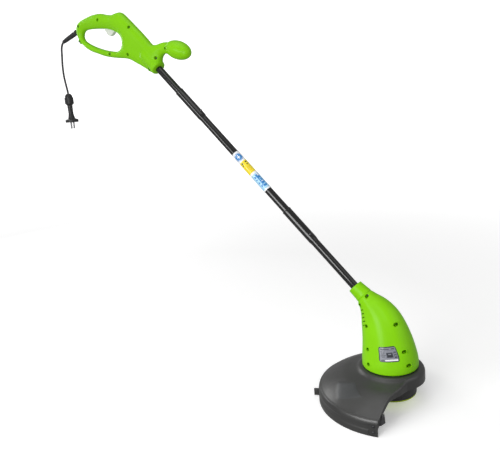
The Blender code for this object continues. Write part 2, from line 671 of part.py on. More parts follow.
def build_housing(head):
    """Make the motor housing with its screws, label, motor, shaft and fan."""
    walls = [housing_depth(x * MM, z * MM) - HOUSING_WALL * 0.6 for x, z in HOUSING_SCREWS]
    for half, name in ((-1, "motor_housing_right"), (1, "motor_housing_left")):
        fixings = clamshell_fixings(half, name, HOUSING_SCREWS, walls, head)
        housing_half(half, name, head, fixings)
    clamshell_screws("housing_screw", HOUSING_SCREWS, head)

    outer, inner = [], []
    for i in range(9):
        turn = LABEL_TURN + LABEL_SPREAD * i / 8
        rows = [interpolated_station(share) for share in (0.0, 0.33, 0.67, 1.0)]
        outer.append([housing_point(row, turn, -0.0009) for row in rows])
        inner.append([housing_point(row, turn, -GAP) for row in rows])
    label = grid_shell(outer, inner, False)
    piece("rating_label", label, make_material("rating_label", (0.55, 0.56, 0.6), 0.35), head)

    steel = make_material("motor_steel", STEEL, 0.4, 1.0)
    can = lathe([(0.0045, 0.088), (0.0255, 0.088), (0.0255, 0.142), (0.0120, 0.142), (0.0120, 0.147),
                 (0.0045, 0.147)], 20)
    piece("motor_can", can, steel, head)
    bracket = lathe([(0.0090, 0.0685), (0.0540, 0.0685), (0.0540, 0.0715), (0.0225, 0.0715),
                     (0.0225, 0.0855), (0.0090, 0.0855)], 24)
    bracket_item = piece("motor_bracket", bracket, make_material("motor_bracket", DARK, 0.5), head)
    screw_holes = bmesh.new()
    for turn in GUARD_SCREW_TURNS:
        place = Vector((GUARD_SCREW_RING * math.cos(turn), GUARD_SCREW_RING * math.sin(turn), 0))
        rod(screw_holes, place + Vector((0, 0, 0.05)), place + Vector((0, 0, 0.08)), SCREW_HOLE_R, 10)
    boolean(bracket_item, piece("guard_screw_holes", screw_holes, GUIDE, head), "DIFFERENCE")

    shaft = lathe([(0, 0.0135), (0.0040, 0.0135), (0.0040, 0.1640), (0, 0.1640)], 16)
    piece("motor_shaft", shaft, make_material("motor_shaft", STEEL, 0.25, 1.0), head)
    build_fan(head)


def interpolated_station(share):
    """Give a housing station between the two that carry the rating label."""
    upper, lower = (HOUSING_STATIONS[number] for number in LABEL_STATIONS)
    return [a + (b - a) * share for a, b in zip(upper, lower)]


def build_fan(head):
    """Make the cooling fan above the motor as one hub with blades."""
    disc = lathe([(0.0043, 0.1500), (0.0300, 0.1500), (0.0300, 0.1516), (0.0080, 0.1516), (0.0080, 0.1590),
                  (0.0043, 0.1590)], 20)
    fan = piece("cooling_fan", disc, make_material("cooling_fan", DARK, 0.5), head)
    blades = bmesh.new()
    for number in range(8):
        turn = Matrix.Rotation(2 * math.pi * number / 8, 4, "Z")
        box(blades, turn @ Vector((0.0180, 0, 0.1545)), (0.0230, 0.0014, 0.0075), turn)
    boolean(fan, piece("fan_blades", blades, GUIDE, head), "UNION")


# ------------------------------------------------------------------ guard

def dome_height(radius):
    """Height of the dome's outer surface at a radius in metres."""
    r = radius / MM
    for (r0, z0), (r1, z1) in zip(DOME, DOME[1:]):
        if r <= r1:
            return (z0 + (z1 - z0) * (r - r0) / (r1 - r0)) * MM
    return DOME[-1][1] * MM


def guard_reach(turn):
    """Outer radius and lower edge of the guard at an angle from straight ahead."""
    angle = abs(math.degrees(turn))
    if turn > 0:
        angle *= OPEN_EDGE[-1][0] / LEFT_END
    if angle >= OPEN_EDGE[-1][0]:
        return GUARD_R, GUARD_RIM
    for (a0, r0), (a1, r1) in zip(OPEN_EDGE, OPEN_EDGE[1:]):
        if angle <= a1:
            reach = (r0 + (r1 - r0) * (angle - a0) / (a1 - a0)) * MM
            return reach, min(NOSE_EDGE, dome_height(reach) - 0.006)
    raise ValueError("angle is outside the open edge")


def build_guard(head):
    """Make the guard: a dome open in front, with a nose round the spool and a deep skirt behind."""
    front = [0, 12, 24, 36, 46, 56, 64, 70, 74.5, 77, 78.5]
    right = front + [87 + 9.3 * k for k in range(10)] + [180]
    left = [a * LEFT_END / front[-1] for a in front] + [105.5 + 9.4 * k for k in range(8)]
    turns = [math.radians(-a) for a in reversed(right)] + [math.radians(a) for a in left[1:]]
    shares = (0, 0.28, 0.37, 0.52, 0.70, 0.86, 1.0)
    outer, inner = [], []
    for turn in turns:
        reach, edge = guard_reach(turn)
        c, s = math.cos(turn), math.sin(turn)
        start = DOME[0][0] * MM
        outside, inside = [], []
        for share in shares:
            radius = start + (reach - start) * share
            height = dome_height(radius)
            outside.append((c * radius, s * radius, height))
            radius_in = start + (reach - GUARD_WALL - start) * share
            below = GUARD_WALL * (1.05 + 0.3 * share)
            inside.append((c * radius_in, s * radius_in, height - below))
        outside.append((c * reach, s * reach, edge))
        inside.append((c * (reach - GUARD_WALL), s * (reach - GUARD_WALL), edge))
        outer.append(outside)
        inner.append(inside)
    guard = piece("guard", grid_shell(outer, inner, True), make_material("guard", DARK, 0.55), head)

    hook = bmesh.new()
    box(hook, polar(GUARD_R + 0.0040, HOOK_TURN, -0.0075), (0.0180, 0.0050, 0.0170),
        Matrix.Rotation(HOOK_TURN, 4, "Z"))
    boolean(guard, piece("guard_hook", hook, GUIDE, head), "UNION")
    cuts = bmesh.new()
    for turn in GUARD_SCREW_TURNS:
        place = Vector((GUARD_SCREW_RING * math.cos(turn), GUARD_SCREW_RING * math.sin(turn), 0))
        rod(cuts, place + Vector((0, 0, 0.05)), place + Vector((0, 0, 0.08)), SCREW_HOLE_R, 10)
    for height in BLADE_SCREW_HEIGHTS:
        rod(cuts, polar(0.170, BLADE_TURN, height), polar(0.150, BLADE_TURN, height), SCREW_HOLE_R, 10)
    boolean(guard, piece("guard_holes", cuts, GUIDE, head), "DIFFERENCE")

    mesh = screw_mesh("guard_screw", 0.0036, 0.0022, SCREW_R, 0.0100)
    for number, turn in enumerate(GUARD_SCREW_TURNS, 1):
        place = (GUARD_SCREW_RING * math.cos(turn), GUARD_SCREW_RING * math.sin(turn), GUARD_SCREW_SEAT)
        link(f"guard_screw_{number}", mesh, head, place, (math.pi, 0, 0))


def polar(radius, turn, height):
    """Point at a radius, an angle from straight ahead and a height in the head's own frame."""
    return Vector((radius * math.cos(turn), radius * math.sin(turn), height))


def build_line_cutter(head):
    """Make the steel line cutter inside the skirt's right end, with its two screws."""
    place = polar(GUARD_R - GUARD_WALL - 0.0006, BLADE_TURN, 0)
    frame = empty("line_cutter_frame", place, (0, 0, BLADE_TURN), head)
    bm = bmesh.new()
    box(bm, (-0.0008, 0.0010, -0.0030), (0.0012, 0.0150, 0.0220))
    blade = piece("line_cutter_blade", bm, make_material("line_cutter_blade", STEEL, 0.3, 1.0), frame)
    leg = bmesh.new()
    box(leg, (-0.0065, 0.0079, 0.0030), (0.0126, 0.0012, 0.0100))
    boolean(blade, piece("line_cutter_leg", leg, GUIDE, frame), "UNION")
    fin = bmesh.new()
    corners = [(0.0074, -0.0010), (0.0215, 0.0090), (0.0195, 0.0300), (0.0150, 0.0130), (0.0074, 0.0060)]
    near = [fin.verts.new((-0.0124, y, z)) for y, z in corners]
    far = [fin.verts.new((-0.0112, y, z)) for y, z in corners]
    fin.faces.new(near)
    fin.faces.new(list(reversed(far)))
    join_rings(fin, near, far)
    boolean(blade, piece("line_cutter_fin", fin, GUIDE, frame), "UNION")
    holes = bmesh.new()
    for height in BLADE_SCREW_HEIGHTS:
        rod(holes, (0.01, 0, height), (-0.01, 0, height), SCREW_HOLE_R, 10)
    boolean(blade, piece("line_cutter_holes", holes, GUIDE, frame), "DIFFERENCE")
    mesh = screw_mesh("blade_screw", 0.0030, 0.0020, SCREW_R, 0.0062)
    seat = GUARD_WALL + 0.0006 + GAP
    for number, height in enumerate(BLADE_SCREW_HEIGHTS, 1):
        link(f"blade_screw_{number}", mesh, frame, (seat, 0, height), (0, math.pi / 2, 0))


# ------------------------------------------------------------------ cutting head

def build_cutting_head(head):
    """Make the spool housing, spool, bump knob, spring, cap, eyelet and line."""
    r = SPOOL_HOUSING_R
    housing = lathe([(0.0043, 0.0335), (0.0043, 0.0180), (0.0085, 0.0180), (0.0085, 0.0305),
                     (r - 0.0028, 0.0305), (r - 0.0028, 0.0040), (r - 0.0008, 0.0040), (r, 0.0075),
                     (r, 0.0260), (r - 0.0020, 0.0310), (r - 0.0070, 0.0335)], 26)
    item = piece("spool_housing", housing, make_material("spool_housing", (0.045, 0.045, 0.047), 0.5), head)
    eye = bmesh.new()
    outside, inside = (polar(radius, LINE_TURN, LINE_HEIGHT) for radius in (r + 0.01, r - 0.01))
    rod(eye, outside, inside, 0.0034 + GAP, 16)
    boolean(item, piece("eyelet_hole", eye, GUIDE, head), "DIFFERENCE")

    place = polar(r, LINE_TURN, LINE_HEIGHT)
    eyelet_frame = empty("eyelet_frame", place, (0, math.pi / 2, LINE_TURN), head)
    eyelet = lathe([(0.0020, -0.0050), (0.0034, -0.0050), (0.0034, 0.0004), (0.0048, 0.0004),
                    (0.0048, 0.0018), (0.0030, 0.0022), (0.0020, 0.0016)], 16)
    piece("line_eyelet", eyelet, make_material("line_eyelet", STEEL, 0.25, 1.0), eyelet_frame)
    line = bmesh.new()
    rod(line, (0, 0, -0.0070), (0, 0, 0.0860), 0.0009, 8)
    piece("cutting_line", line, make_material("cutting_line", (0.75, 0.6, 0.02), 0.4), eyelet_frame)

    cap = lathe([(0.0205, -0.0015), (0.0470, -0.0015), (0.0530, 0.0004), (0.0553, 0.0034), (0.0500, 0.0034),
                 (0.0500, 0.0070), (0.0480, 0.0070), (0.0480, 0.0010), (0.0205, 0.0010)], 26)
    piece("spool_cap", cap, make_material("spool_cap", (0.55, 0.72, 0.02), 0.4), head)

    knob = lathe([(0, -0.0100), (0.0150, -0.0100), (0.0190, -0.0065), (0.0190, 0.0040), (0.0070, 0.0040),
                  (0.0070, 0.0085), (0, 0.0085)], 24)
    piece("bump_knob", knob, make_material("bump_knob", (0.03, 0.03, 0.032), 0.5), head)
    spool = lathe([(0.0120, 0.0050), (0.0420, 0.0050), (0.0420, 0.0066), (0.0150, 0.0066), (0.0150, 0.0230),
                   (0.0420, 0.0230), (0.0420, 0.0246), (0.0120, 0.0246)], 24)
    piece("line_spool", spool, make_material("line_spool", BLACK, 0.5), head)
    wound = lathe([(0.0153, 0.0070), (0.0300, 0.0070), (0.0330, 0.0100), (0.0330, 0.0196), (0.0300, 0.0226),
                   (0.0153, 0.0226)], 24)
    piece("wound_line", wound, make_material("wound_line", (0.75, 0.6, 0.02), 0.45), head)
    spring = lathe([(0.0090, 0.0100), (0.0105, 0.0100), (0.0105, 0.0240), (0.0090, 0.0240)], 14)
    piece("bump_spring", spring, make_material("bump_spring", STEEL, 0.35, 1.0), head)


# ------------------------------------------------------------------ whole

clear_scene()
GUIDE = make_material("guide", (0.5, 0.5, 0.5), 0.5)
build_handle()
build_lead()
build_tube()
head_frame = empty("head_frame", (HEAD_X, 0, HEAD_Z))
build_housing(head_frame)
build_guard(head_frame)
build_line_cutter(head_frame)
build_cutting_head(head_frame)
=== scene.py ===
"""Corded string trimmer: fine surfaces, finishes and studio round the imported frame.

Laid out as an add-on and run as a script. Metres, +X forward, +Y to the user's left, +Z up.
"""

import math

import bmesh
import bpy
import numpy as np
from bpy.props import FloatProperty, FloatVectorProperty, IntProperty, PointerProperty
from mathutils import Matrix, Vector
from mathutils.geometry import delaunay_2d_cdt


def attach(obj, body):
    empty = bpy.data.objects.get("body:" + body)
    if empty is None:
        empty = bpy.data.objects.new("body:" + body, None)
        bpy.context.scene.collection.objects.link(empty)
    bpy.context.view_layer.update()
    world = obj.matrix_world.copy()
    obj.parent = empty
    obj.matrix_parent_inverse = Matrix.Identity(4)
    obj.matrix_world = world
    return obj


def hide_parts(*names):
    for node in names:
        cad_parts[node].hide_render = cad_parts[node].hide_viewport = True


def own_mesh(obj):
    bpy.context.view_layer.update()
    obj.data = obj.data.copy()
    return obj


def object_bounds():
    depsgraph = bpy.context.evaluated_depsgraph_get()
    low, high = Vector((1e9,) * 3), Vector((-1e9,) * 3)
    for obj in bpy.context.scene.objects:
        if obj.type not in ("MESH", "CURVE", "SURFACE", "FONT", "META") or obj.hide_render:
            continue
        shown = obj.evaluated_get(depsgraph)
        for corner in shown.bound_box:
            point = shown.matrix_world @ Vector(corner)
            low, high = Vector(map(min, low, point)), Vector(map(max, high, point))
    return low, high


bl_info = {
    "name": "String Trimmer",
    "version": (1, 0, 0),
    "blender": (4, 5, 0),
    "location": "3D View > Sidebar > Trimmer",
    "description": "Builds the visible pieces of a corded string trimmer round its packed frame",
    "category": "Object",
}

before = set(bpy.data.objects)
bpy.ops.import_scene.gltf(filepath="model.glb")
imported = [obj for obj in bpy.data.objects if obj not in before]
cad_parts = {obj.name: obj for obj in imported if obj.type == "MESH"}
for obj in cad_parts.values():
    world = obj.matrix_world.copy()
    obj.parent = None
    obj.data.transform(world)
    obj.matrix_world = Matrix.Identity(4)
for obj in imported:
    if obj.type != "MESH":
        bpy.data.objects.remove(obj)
CAD_BOX = [list(corner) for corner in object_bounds()]

MM = 0.001
GAP = 0.0003
SHARP = math.radians(32)
NEARLY_STRAIGHT = math.radians(172)
HEAD = Vector((0.820, 0, -0.925))
SHAFT_TILT = math.radians(45.3)
TUBE_TOP = Vector((0.2115, 0, -0.150))
TUBE_RUN = 0.755
SOCKETS = ((0.090, 0.186), (0.516, 0.612))
BUTTON_TURNS = (math.radians(90), math.radians(52))
SCREW_SEAT = 0.0080
CASE_SCREW = (0.0031, 0.0022, 0.0145)     # head radius, head height and length
FACING_RIGHT = (math.pi / 2, 0, 0)
WELL_TOP = 0.0114
WELL_RADIUS = 0.0041
WELL_RINGS = (0.0050, 0.0045, 0.0042, 0.0041, 0.0020)
OUTLINE_STEP = 0.0014
EDGE_DEPTHS = (0.0004, 0.0011, 0.0021, 0.0034, 0.0050, 0.0069)
FIELD_SPACING = 0.0026
FIELD_MARGIN = 0.0092

# Handle outlines in mm as (x, z), clockwise from the rear
HANDLE_OUTLINE = [
    (-95, -12), (-91, 4), (-76, 14), (-50, 19), (-20, 22), (12, 21), (38, 14), (60, 10), (78, 11.5),
    (93, 11), (104.5, 3), (122, -13), (142, -32), (162, -51), (181, -71), (196, -86), (214, -89),
    (232, -87), (250, -88), (262, -98), (264, -112), (254, -118), (239, -115), (227, -122), (223, -132),
    (222.4, -138.8), (211.2, -150.2), (199.6, -161.2), (187, -156), (167, -144), (138, -128), (105, -112),
    (61, -104), (19, -95), (-15, -83), (-46, -71), (-73, -53), (-89, -34)]
OPENING_OUTLINE = [
    (-72, -28), (-66, -17), (-50, -13), (-20, -15), (10, -19), (35, -24), (60, -32), (80, -44), (90, -60),
    (87, -76), (76, -85), (60, -86.5), (28, -80), (-5, -70), (-35, -58), (-56, -47), (-68, -38)]
TRIGGER_OUTLINE = [
    (28, -16), (50, -13), (66, -12.5), (76, -14), (79, -20), (76, -26), (66, -32), (56, -40), (47, -43),
    (39, -41), (32, -34), (27, -25)]
HANDLE_SCREWS = [
    (-76, 0), (-80, -42), (14, 3), (42, -91), (130, -34), (116, -102), (253, -104), (215, -123), (187, -148)]
TRIGGER_PIN = Vector((0.072, 0, -0.020))
KNOB_CENTRE = (0.285, -0.112)
KNOB_SEMI = (0.041, 0.023, 0.023)
KNOB_TILT = math.radians(20)

# Motor housing in the head's own frame
HOUSING_SCREWS = [(-43, 224), (-60, 202), (-39, 161), (24, 171), (-33, 112), (44, 115), (-29, 81), (53, 85)]
HOUSING_STATIONS = [
    (-77.5, 239, 44.7, 16.0, 16.0), (-67.5, 230, 44.7, 17.5, 16.6), (-58.3, 222, 44.0, 19.0, 17.4),
    (-48, 211, 42, 24, 22), (-33, 195, 33, 35, 29), (-21, 176, 22, 44, 36), (-12, 153, 13, 50, 43),
    (-5, 125, 6, 55.5, 50), (-1, 97, 1.5, 60, 56.5), (0, 80, 0, 61.8, 60.5), (0, 66.3, 0, 61.5, 61.5)]

TUBE_HOLE = 10.4
HOUSING_WALL = 0.0025
COLLAR_SEAM = 219.0
HOUSING_FOOT = 66.3
VENT_TURN = math.radians(131)
VENT_LEVELS = (0.198, 0.160)

# Guard dome as (radius, height) in mm, and its open edge as (angle in degrees, radius in mm)
DOME = [(31, 64.5), (62, 64.5), (69, 63), (75, 58), (88, 53.5), (104, 49), (120, 42), (136, 33.5),
        (148, 26), (157, 19), (163, 12)]
OPEN_EDGE = [
    (0, 75), (36, 75), (46, 79), (56, 90), (64, 101), (70, 115), (74.5, 137), (77, 155), (78.5, 163)]
LEFT_END = 96
GUARD_WALL = 0.0026
DOME_STEPS = 44
ROUND_OVER = 0.0060
ROUND_STEPS = 8
SKIRT_STEPS = 14
SKIRT_STEP = 0.0009
BADGE_TURN = math.radians(-117)
BADGE_REACH = 0.1235
BADGE_HALF = (0.040, 0.024)
GUARD_RIM = -0.017
NOSE_EDGE = 0.0365
BLADE_TURN = math.radians(-81.6)
BLADE_SCREW_HEIGHTS = (-0.0085, 0.0045)
GUARD_SCREW_RING = 0.0475
GUARD_SCREW_SEAT = 0.0604
GUARD_SCREW_TURNS = [math.radians(a) for a in (60, 180, 300)]
HOOK_TURN = math.radians(-157)
LINE_TURN = math.radians(150)
LINE_HEIGHT = 0.0165

# Lead's centre line in mm as (x, z), from the strain relief to the plug
LEAD_ROUTE = [
    (-163.3, -29.4), (-169.4, -32.2), (-174.6, -36.9), (-178.4, -43.2), (-180.6, -51), (-182.2, -62),
    (-184, -74), (-186, -86), (-187.3, -97.5), (-188, -109), (-188, -121), (-187.2, -133),
    (-185.6, -144.5), (-183.6, -155), (-181.8, -164.5), (-180.5, -172.5), (-180, -178.6)]
RELIEF_START = Vector((-0.0860, 0, -0.0085))
RELIEF_END = Vector((-0.1622, 0, -0.0291))
BOOT_OVER_LEAD = 0.0030     # length of the lead's start inside the boot
PLUG_TOP = Vector((-0.180, 0, -0.179))
PLUG_BLADE_ASIDE = 0.0064

LABEL_RUN = (0.322, 0.448)
LABEL_MIDDLE = math.radians(239)
LABEL_SPREAD = math.radians(108)

CAMERA_TURN = math.radians(36.0)
CAMERA_CLIMB = math.radians(11.5)
CAMERA_ROLL = math.radians(-4.8)
CAMERA_PLACE = Vector((1.2505, -1.0827, -0.2860))
STUDIO_AIM = Vector((0.38, 0, -0.48))
FLOOR_CENTRE = 0.3
FLOOR_RADIUS = 4.5
FLOOR_BEND = 2.0
FLOOR_TOP = 6.0


# -------------------- user settings

def metres(name, text, value):
    """Describe a length setting."""
    return FloatProperty(name=name, description=text, default=value, unit="LENGTH")


def shade(name, text, value):
    """Describe a colour setting."""
    return FloatVectorProperty(name=name, description=text, default=value, subtype="COLOR", size=3)


def amount(name, text, value):
    """Describe a plain number setting."""
    return FloatProperty(name=name, description=text, default=value)


class TrimmerSizes(bpy.types.PropertyGroup):
    """Sizes that the visible pieces are built from."""

    tube_radius: metres("Tube Radius", "Outer radius of the tube", 0.0095)
    socket_radius: metres("Socket Radius", "Outer radius where two tubes join", 0.0108)
    handle_half: metres("Handle Half Thickness", "From the split plane to the side", 0.017)
    handle_round: metres("Handle Rounding", "Width of the handle's rounded edge", 0.028)
    wall: metres("Wall", "Wall thickness of the handle's shells", 0.0022)
    guard_radius: metres("Guard Radius", "Radius of the guard's rim", 0.163)
    spool_radius: metres("Spool Radius", "Radius of the spool housing", 0.056)
    lead_radius: metres("Lead Radius", "Radius of the mains lead", 0.003)
    boot_ribs: IntProperty(
        name="Boot Ribs", description="Number of ribs on the strain relief", default=9)
    vent_slots: IntProperty(
        name="Vent Slots", description="Number of vent slots on each side of the housing", default=6)


class TrimmerColours(bpy.types.PropertyGroup):
    """Colours of the moulded pieces."""

    lime: shade("Shell", "Handle and motor housing", (0.225, 0.61, 0.004))
    guard: shade("Guard", "Guard and spool housing", (0.029, 0.029, 0.028))
    black: shade("Black", "Plug, boot and knob", (0.022, 0.022, 0.023))
    tube: shade("Tube", "Coated tube", (0.009, 0.009, 0.009))
    trigger: shade("Trigger", "Trigger", (0.74, 0.78, 0.70))
    cap: shade("Cap", "Spool cap", (0.46, 0.62, 0.02))
    line: shade("Line", "Cutting line", (0.72, 0.56, 0.03))


class TrimmerStudio(bpy.types.PropertyGroup):
    """Floor, light and camera."""

    floor: shade("Floor", "Floor colour", (0.88, 0.88, 0.88))
    key_power: amount("Key Light", "Power of the key light in watts", 22.0)
    head_power: amount("Head Light", "Power of the low light on the head in watts", 9.0)
    rim_power: amount("Rim Light", "Power of the light from behind in watts", 14.0)
    top_power: amount("Top Light", "Power of the top light in watts", 19.0)
    fill_power: amount("Fill Light", "Power of the fill light in watts", 12.0)
    sky: amount("Sky", "Strength of the even light from all round", 0.36)
    focal_length: amount("Focal Length", "Lens in mm", 39.09)


def sizes():
    """Give the size settings."""
    return bpy.context.scene.trimmer_sizes


def colours():
    """Give the colour settings."""
    return bpy.context.scene.trimmer_colours


def studio():
    """Give the studio settings."""
    return bpy.context.scene.trimmer_studio


# -------------------- curves and outlines

def curve_point(p0, p1, p2, p3, t):
    """Read one point of a smooth curve between p1 and p2."""
    return 0.5 * (2 * p1 + (p2 - p0) * t + (2 * p0 - 5 * p1 + 4 * p2 - p3) * t * t
                  + (3 * p1 - p0 - 3 * p2 + p3) * t ** 3)


def smooth_loop(points, step):
    """Read a closed outline, in metres, from a smooth curve through points in millimetres."""
    count = len(points)
    result = []
    for i in range(count):
        p0, p1, p2, p3 = (Vector(points[(i + k) % count]) * MM for k in (-1, 0, 1, 2))
        pieces = max(1, round((p2 - p1).length / step))
        result += [curve_point(p0, p1, p2, p3, k / pieces) for k in range(pieces)]
    return result


def smooth_path(points, step):
    """Read an open path at even steps from a smooth curve through the given vectors."""
    last = len(points) - 1
    fine = []
    for i in range(last):
        p0, p1, p2, p3 = points[max(i - 1, 0)], points[i], points[i + 1], points[min(i + 2, last)]
        fine += [curve_point(p0, p1, p2, p3, k / 20) for k in range(20)]
    fine.append(points[-1])
    runs = [0.0]
    for before, after in zip(fine, fine[1:]):
        runs.append(runs[-1] + (after - before).length)
    stops = max(2, round(runs[-1] / step))
    path = []
    i = 0
    for k in range(stops + 1):
        run = runs[-1] * k / stops
        while i < len(fine) - 2 and runs[i + 1] <= run:
            i += 1
        share = (run - runs[i]) / (runs[i + 1] - runs[i])
        path.append(fine[i].lerp(fine[i + 1], min(max(share, 0.0), 1.0)))
    return path


def smooth_rows(rows, steps):
    """Read a table of numbers at steps places between each pair of rows, on smooth curves."""
    table = [np.array(row, float) for row in rows]
    last = len(table) - 1
    result = []
    for i in range(last):
        p0, p1, p2, p3 = table[max(i - 1, 0)], table[i], table[i + 1], table[min(i + 2, last)]
        result += [curve_point(p0, p1, p2, p3, k / steps) for k in range(steps)]
    result.append(table[-1])
    return result


def inside(points, loop):
    """Say which of an array of points lie inside a closed outline."""
    x, y = points[:, 0], points[:, 1]
    result = np.zeros(len(points), bool)
    for (ax, ay), (bx, by) in zip(loop, np.roll(loop, -1, axis=0)):
        crosses = (ay > y) != (by > y)
        if ay != by:
            result ^= crosses & (x < (bx - ax) * (y - ay) / (by - ay) + ax)
    return result


def distance_to(points, loop):
    """Give each point's distance to a closed outline."""
    start = loop
    along = np.roll(loop, -1, axis=0) - loop
    best = np.full(len(points), 1e9)
    for a, d in zip(start, along):
        offset = points - a
        share = np.clip(offset @ d / max(d @ d, 1e-18), 0, 1)
        best = np.minimum(best, np.hypot(*(offset - share[:, None] * d).T))
    return best


def soft_max(a, b, reach):
    """Blend two heights smoothly where they meet."""
    overlap = np.maximum(reach - np.abs(a - b), 0) / reach
    return np.maximum(a, b) + overlap * overlap * reach / 4


def ease(value):
    """Turn 0 to 1 into a smooth step."""
    value = np.clip(value, 0, 1)
    return value * value * (3 - 2 * value)


def polar(radius, turn, height):
    """Point at a radius, an angle from straight ahead and a height over the head's zero plane."""
    return HEAD + Vector((radius * math.cos(turn), radius * math.sin(turn), height))


def tube_matrix():
    """Place with its Z down the tube from the handle."""
    return Matrix.Translation(TUBE_TOP) @ Matrix.Rotation(math.pi / 2 + SHAFT_TILT, 4, "Y")


# -------------------- mesh tools

def add_object(name, mesh):
    """Put a mesh in the scene as a named object."""
    item = bpy.data.objects.new(name, mesh)
    bpy.context.scene.collection.objects.link(item)
    return item


def mesh_from(name, bm, recalculate=True):
    """Turn a bmesh into a mesh, shaded smooth with its real edges sharp."""
    if recalculate:
        bmesh.ops.recalc_face_normals(bm, faces=bm.faces)
    mesh = bpy.data.meshes.new(name)
    bm.to_mesh(mesh)
    bm.free()
    mesh.shade_smooth()
    mesh.set_sharp_from_angle(angle=SHARP)
    return mesh


def freeze(item):
    """Turn an object's live modifiers into its plain mesh."""
    graph = bpy.context.evaluated_depsgraph_get()
    mesh = bpy.data.meshes.new_from_object(item.evaluated_get(graph))
    old = item.data
    item.modifiers.clear()
    item.data = mesh
    mesh.name = item.name
    bpy.data.meshes.remove(old)
    return item


def boolean(item, cutter, operation="DIFFERENCE"):
    """Cut or join one object by another, which is then removed."""
    modifier = item.modifiers.new("Cut", "BOOLEAN")
    modifier.operation = operation
    modifier.solver = "EXACT"
    modifier.object = cutter
    freeze(item)
    bpy.data.objects.remove(cutter, do_unlink=True)
    item.data.shade_smooth()
    item.data.set_sharp_from_angle(angle=SHARP)
    return item


def finish_piece(item, material, body, replaced=()):
    """Give a piece its finish and say what it moves with and stands for."""
    item.data.materials.clear()
    item.data.materials.append(material)
    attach(item, body)
    if replaced:
        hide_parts(*replaced)
    return item


def lathe(bm, profile, segments, matrix=None):
    """Spin a closed (radius, height) profile in metres about Z. Points at radius 0 become poles."""
    matrix = matrix or Matrix.Identity(4)
    poles = {j: bm.verts.new(matrix @ Vector((0, 0, z))) for j, (r, z) in enumerate(profile) if r == 0}
    columns = []
    for i in range(segments):
        c, s = math.cos(2 * math.pi * i / segments), math.sin(2 * math.pi * i / segments)
        columns.append([poles.get(j) or bm.verts.new(matrix @ Vector((r * c, r * s, z)))
                        for j, (r, z) in enumerate(profile)])
    for i in range(segments):
        here, there = columns[i], columns[(i + 1) % segments]
        for j in range(len(profile)):
            k = (j + 1) % len(profile)
            corners = []
            for vert in (here[j], here[k], there[k], there[j]):
                if vert not in corners:
                    corners.append(vert)
            if len(corners) > 2:
                bm.faces.new(corners)


def rounded(profile, radius, steps=4):
    """Round the corners of a closed (radius, height) profile, leaving points on the axis alone."""
    result = []
    count = len(profile)
    for i, point in enumerate(profile):
        p = Vector(point)
        before = Vector(profile[i - 1]) - p
        after = Vector(profile[(i + 1) % count]) - p
        on_axis = point[0] == 0
        doubled = min(before.length, after.length) < 1e-9
        if on_axis or doubled or before.angle(after) > NEARLY_STRAIGHT:
            result.append(tuple(point))
            continue
        reach = min(radius, before.length * 0.45, after.length * 0.45)
        a, b = p + before.normalized() * reach, p + after.normalized() * reach
        for k in range(steps + 1):
            t = k / steps
            result.append(tuple(a.lerp(p, t).lerp(p.lerp(b, t), t)))
    return result


def turned(name, profile, segments, matrix=None, corner=0.0004):
    """Make a turned piece from a closed profile with softened corners."""
    bm = bmesh.new()
    lathe(bm, rounded(profile, corner), segments, matrix)
    return add_object(name, mesh_from(name, bm))


def add_box(bm, centre, size, rotation=None):
    """Add a box to a bmesh."""
    matrix = Matrix.Translation(centre) @ (rotation or Matrix.Identity(4)) @ Matrix.Diagonal((*size, 1))
    return bmesh.ops.create_cube(bm, size=1, matrix=matrix)["verts"]


def add_rod(bm, start, end, radius, segments=24):
    """Add a cylinder between two points."""
    start, end = Vector(start), Vector(end)
    along = end - start
    matrix = Matrix.Translation((start + end) / 2) @ along.to_track_quat("Z", "Y").to_matrix().to_4x4()
    bmesh.ops.create_cone(bm, cap_ends=True, segments=segments, radius1=radius, radius2=radius,
                          depth=along.length, matrix=matrix)


def softened_box(name, centre, size, rotation=None, edge=0.0006):
    """Make a box with rounded edges."""
    bm = bmesh.new()
    add_box(bm, centre, size, rotation)
    bmesh.ops.bevel(bm, geom=bm.edges[:], offset=edge, segments=3, profile=0.5, affect="EDGES")
    return add_object(name, mesh_from(name, bm))


def thin_shell(name, bm, half, spot, wall):
    """Turn an open surface into a shell, whose outside at the spot faces the side that half names."""
    bmesh.ops.recalc_face_normals(bm, faces=bm.faces)
    probe = min(bm.faces, key=lambda face: (face.calc_center_median() - spot).length)
    if probe.normal.y * half < 0:
        bmesh.ops.reverse_faces(bm, faces=bm.faces)
    item = add_object(name, mesh_from(name, bm, recalculate=False))
    shell = item.modifiers.new("Wall", "SOLIDIFY")
    shell.thickness = wall
    shell.offset = -1
    freeze(item)
    item.data.shade_smooth()
    item.data.set_sharp_from_angle(angle=SHARP)
    return item


def grid_faces(bm, grid, closed, flip=False):
    """Make faces between neighbouring columns of a grid of vertices."""
    count = len(grid)
    for i in range(count if closed else count - 1):
        here, there = grid[i], grid[(i + 1) % count]
        for j in range(len(here) - 1):
            corners = [here[j], there[j], there[j + 1], here[j + 1]]
            bm.faces.new(corners[::-1] if flip else corners)


def close_film(bm, shells):
    """Make a closed film from its outer and inner grids of vertices."""
    outer, inner = shells
    grid_faces(bm, outer, False)
    grid_faces(bm, inner, False, flip=True)
    last = len(outer[0]) - 1
    for i in range(len(outer) - 1):
        for j in (0, last):
            bm.faces.new((outer[i][j], outer[i + 1][j], inner[i + 1][j], inner[i][j]))
    for i in (0, len(outer) - 1):
        for j in range(last):
            bm.faces.new((outer[i][j], outer[i][j + 1], inner[i][j + 1], inner[i][j]))


# -------------------- finishes

def wire(tree, source, target):
    """Link an output socket to an input socket."""
    tree.links.new(source, target)


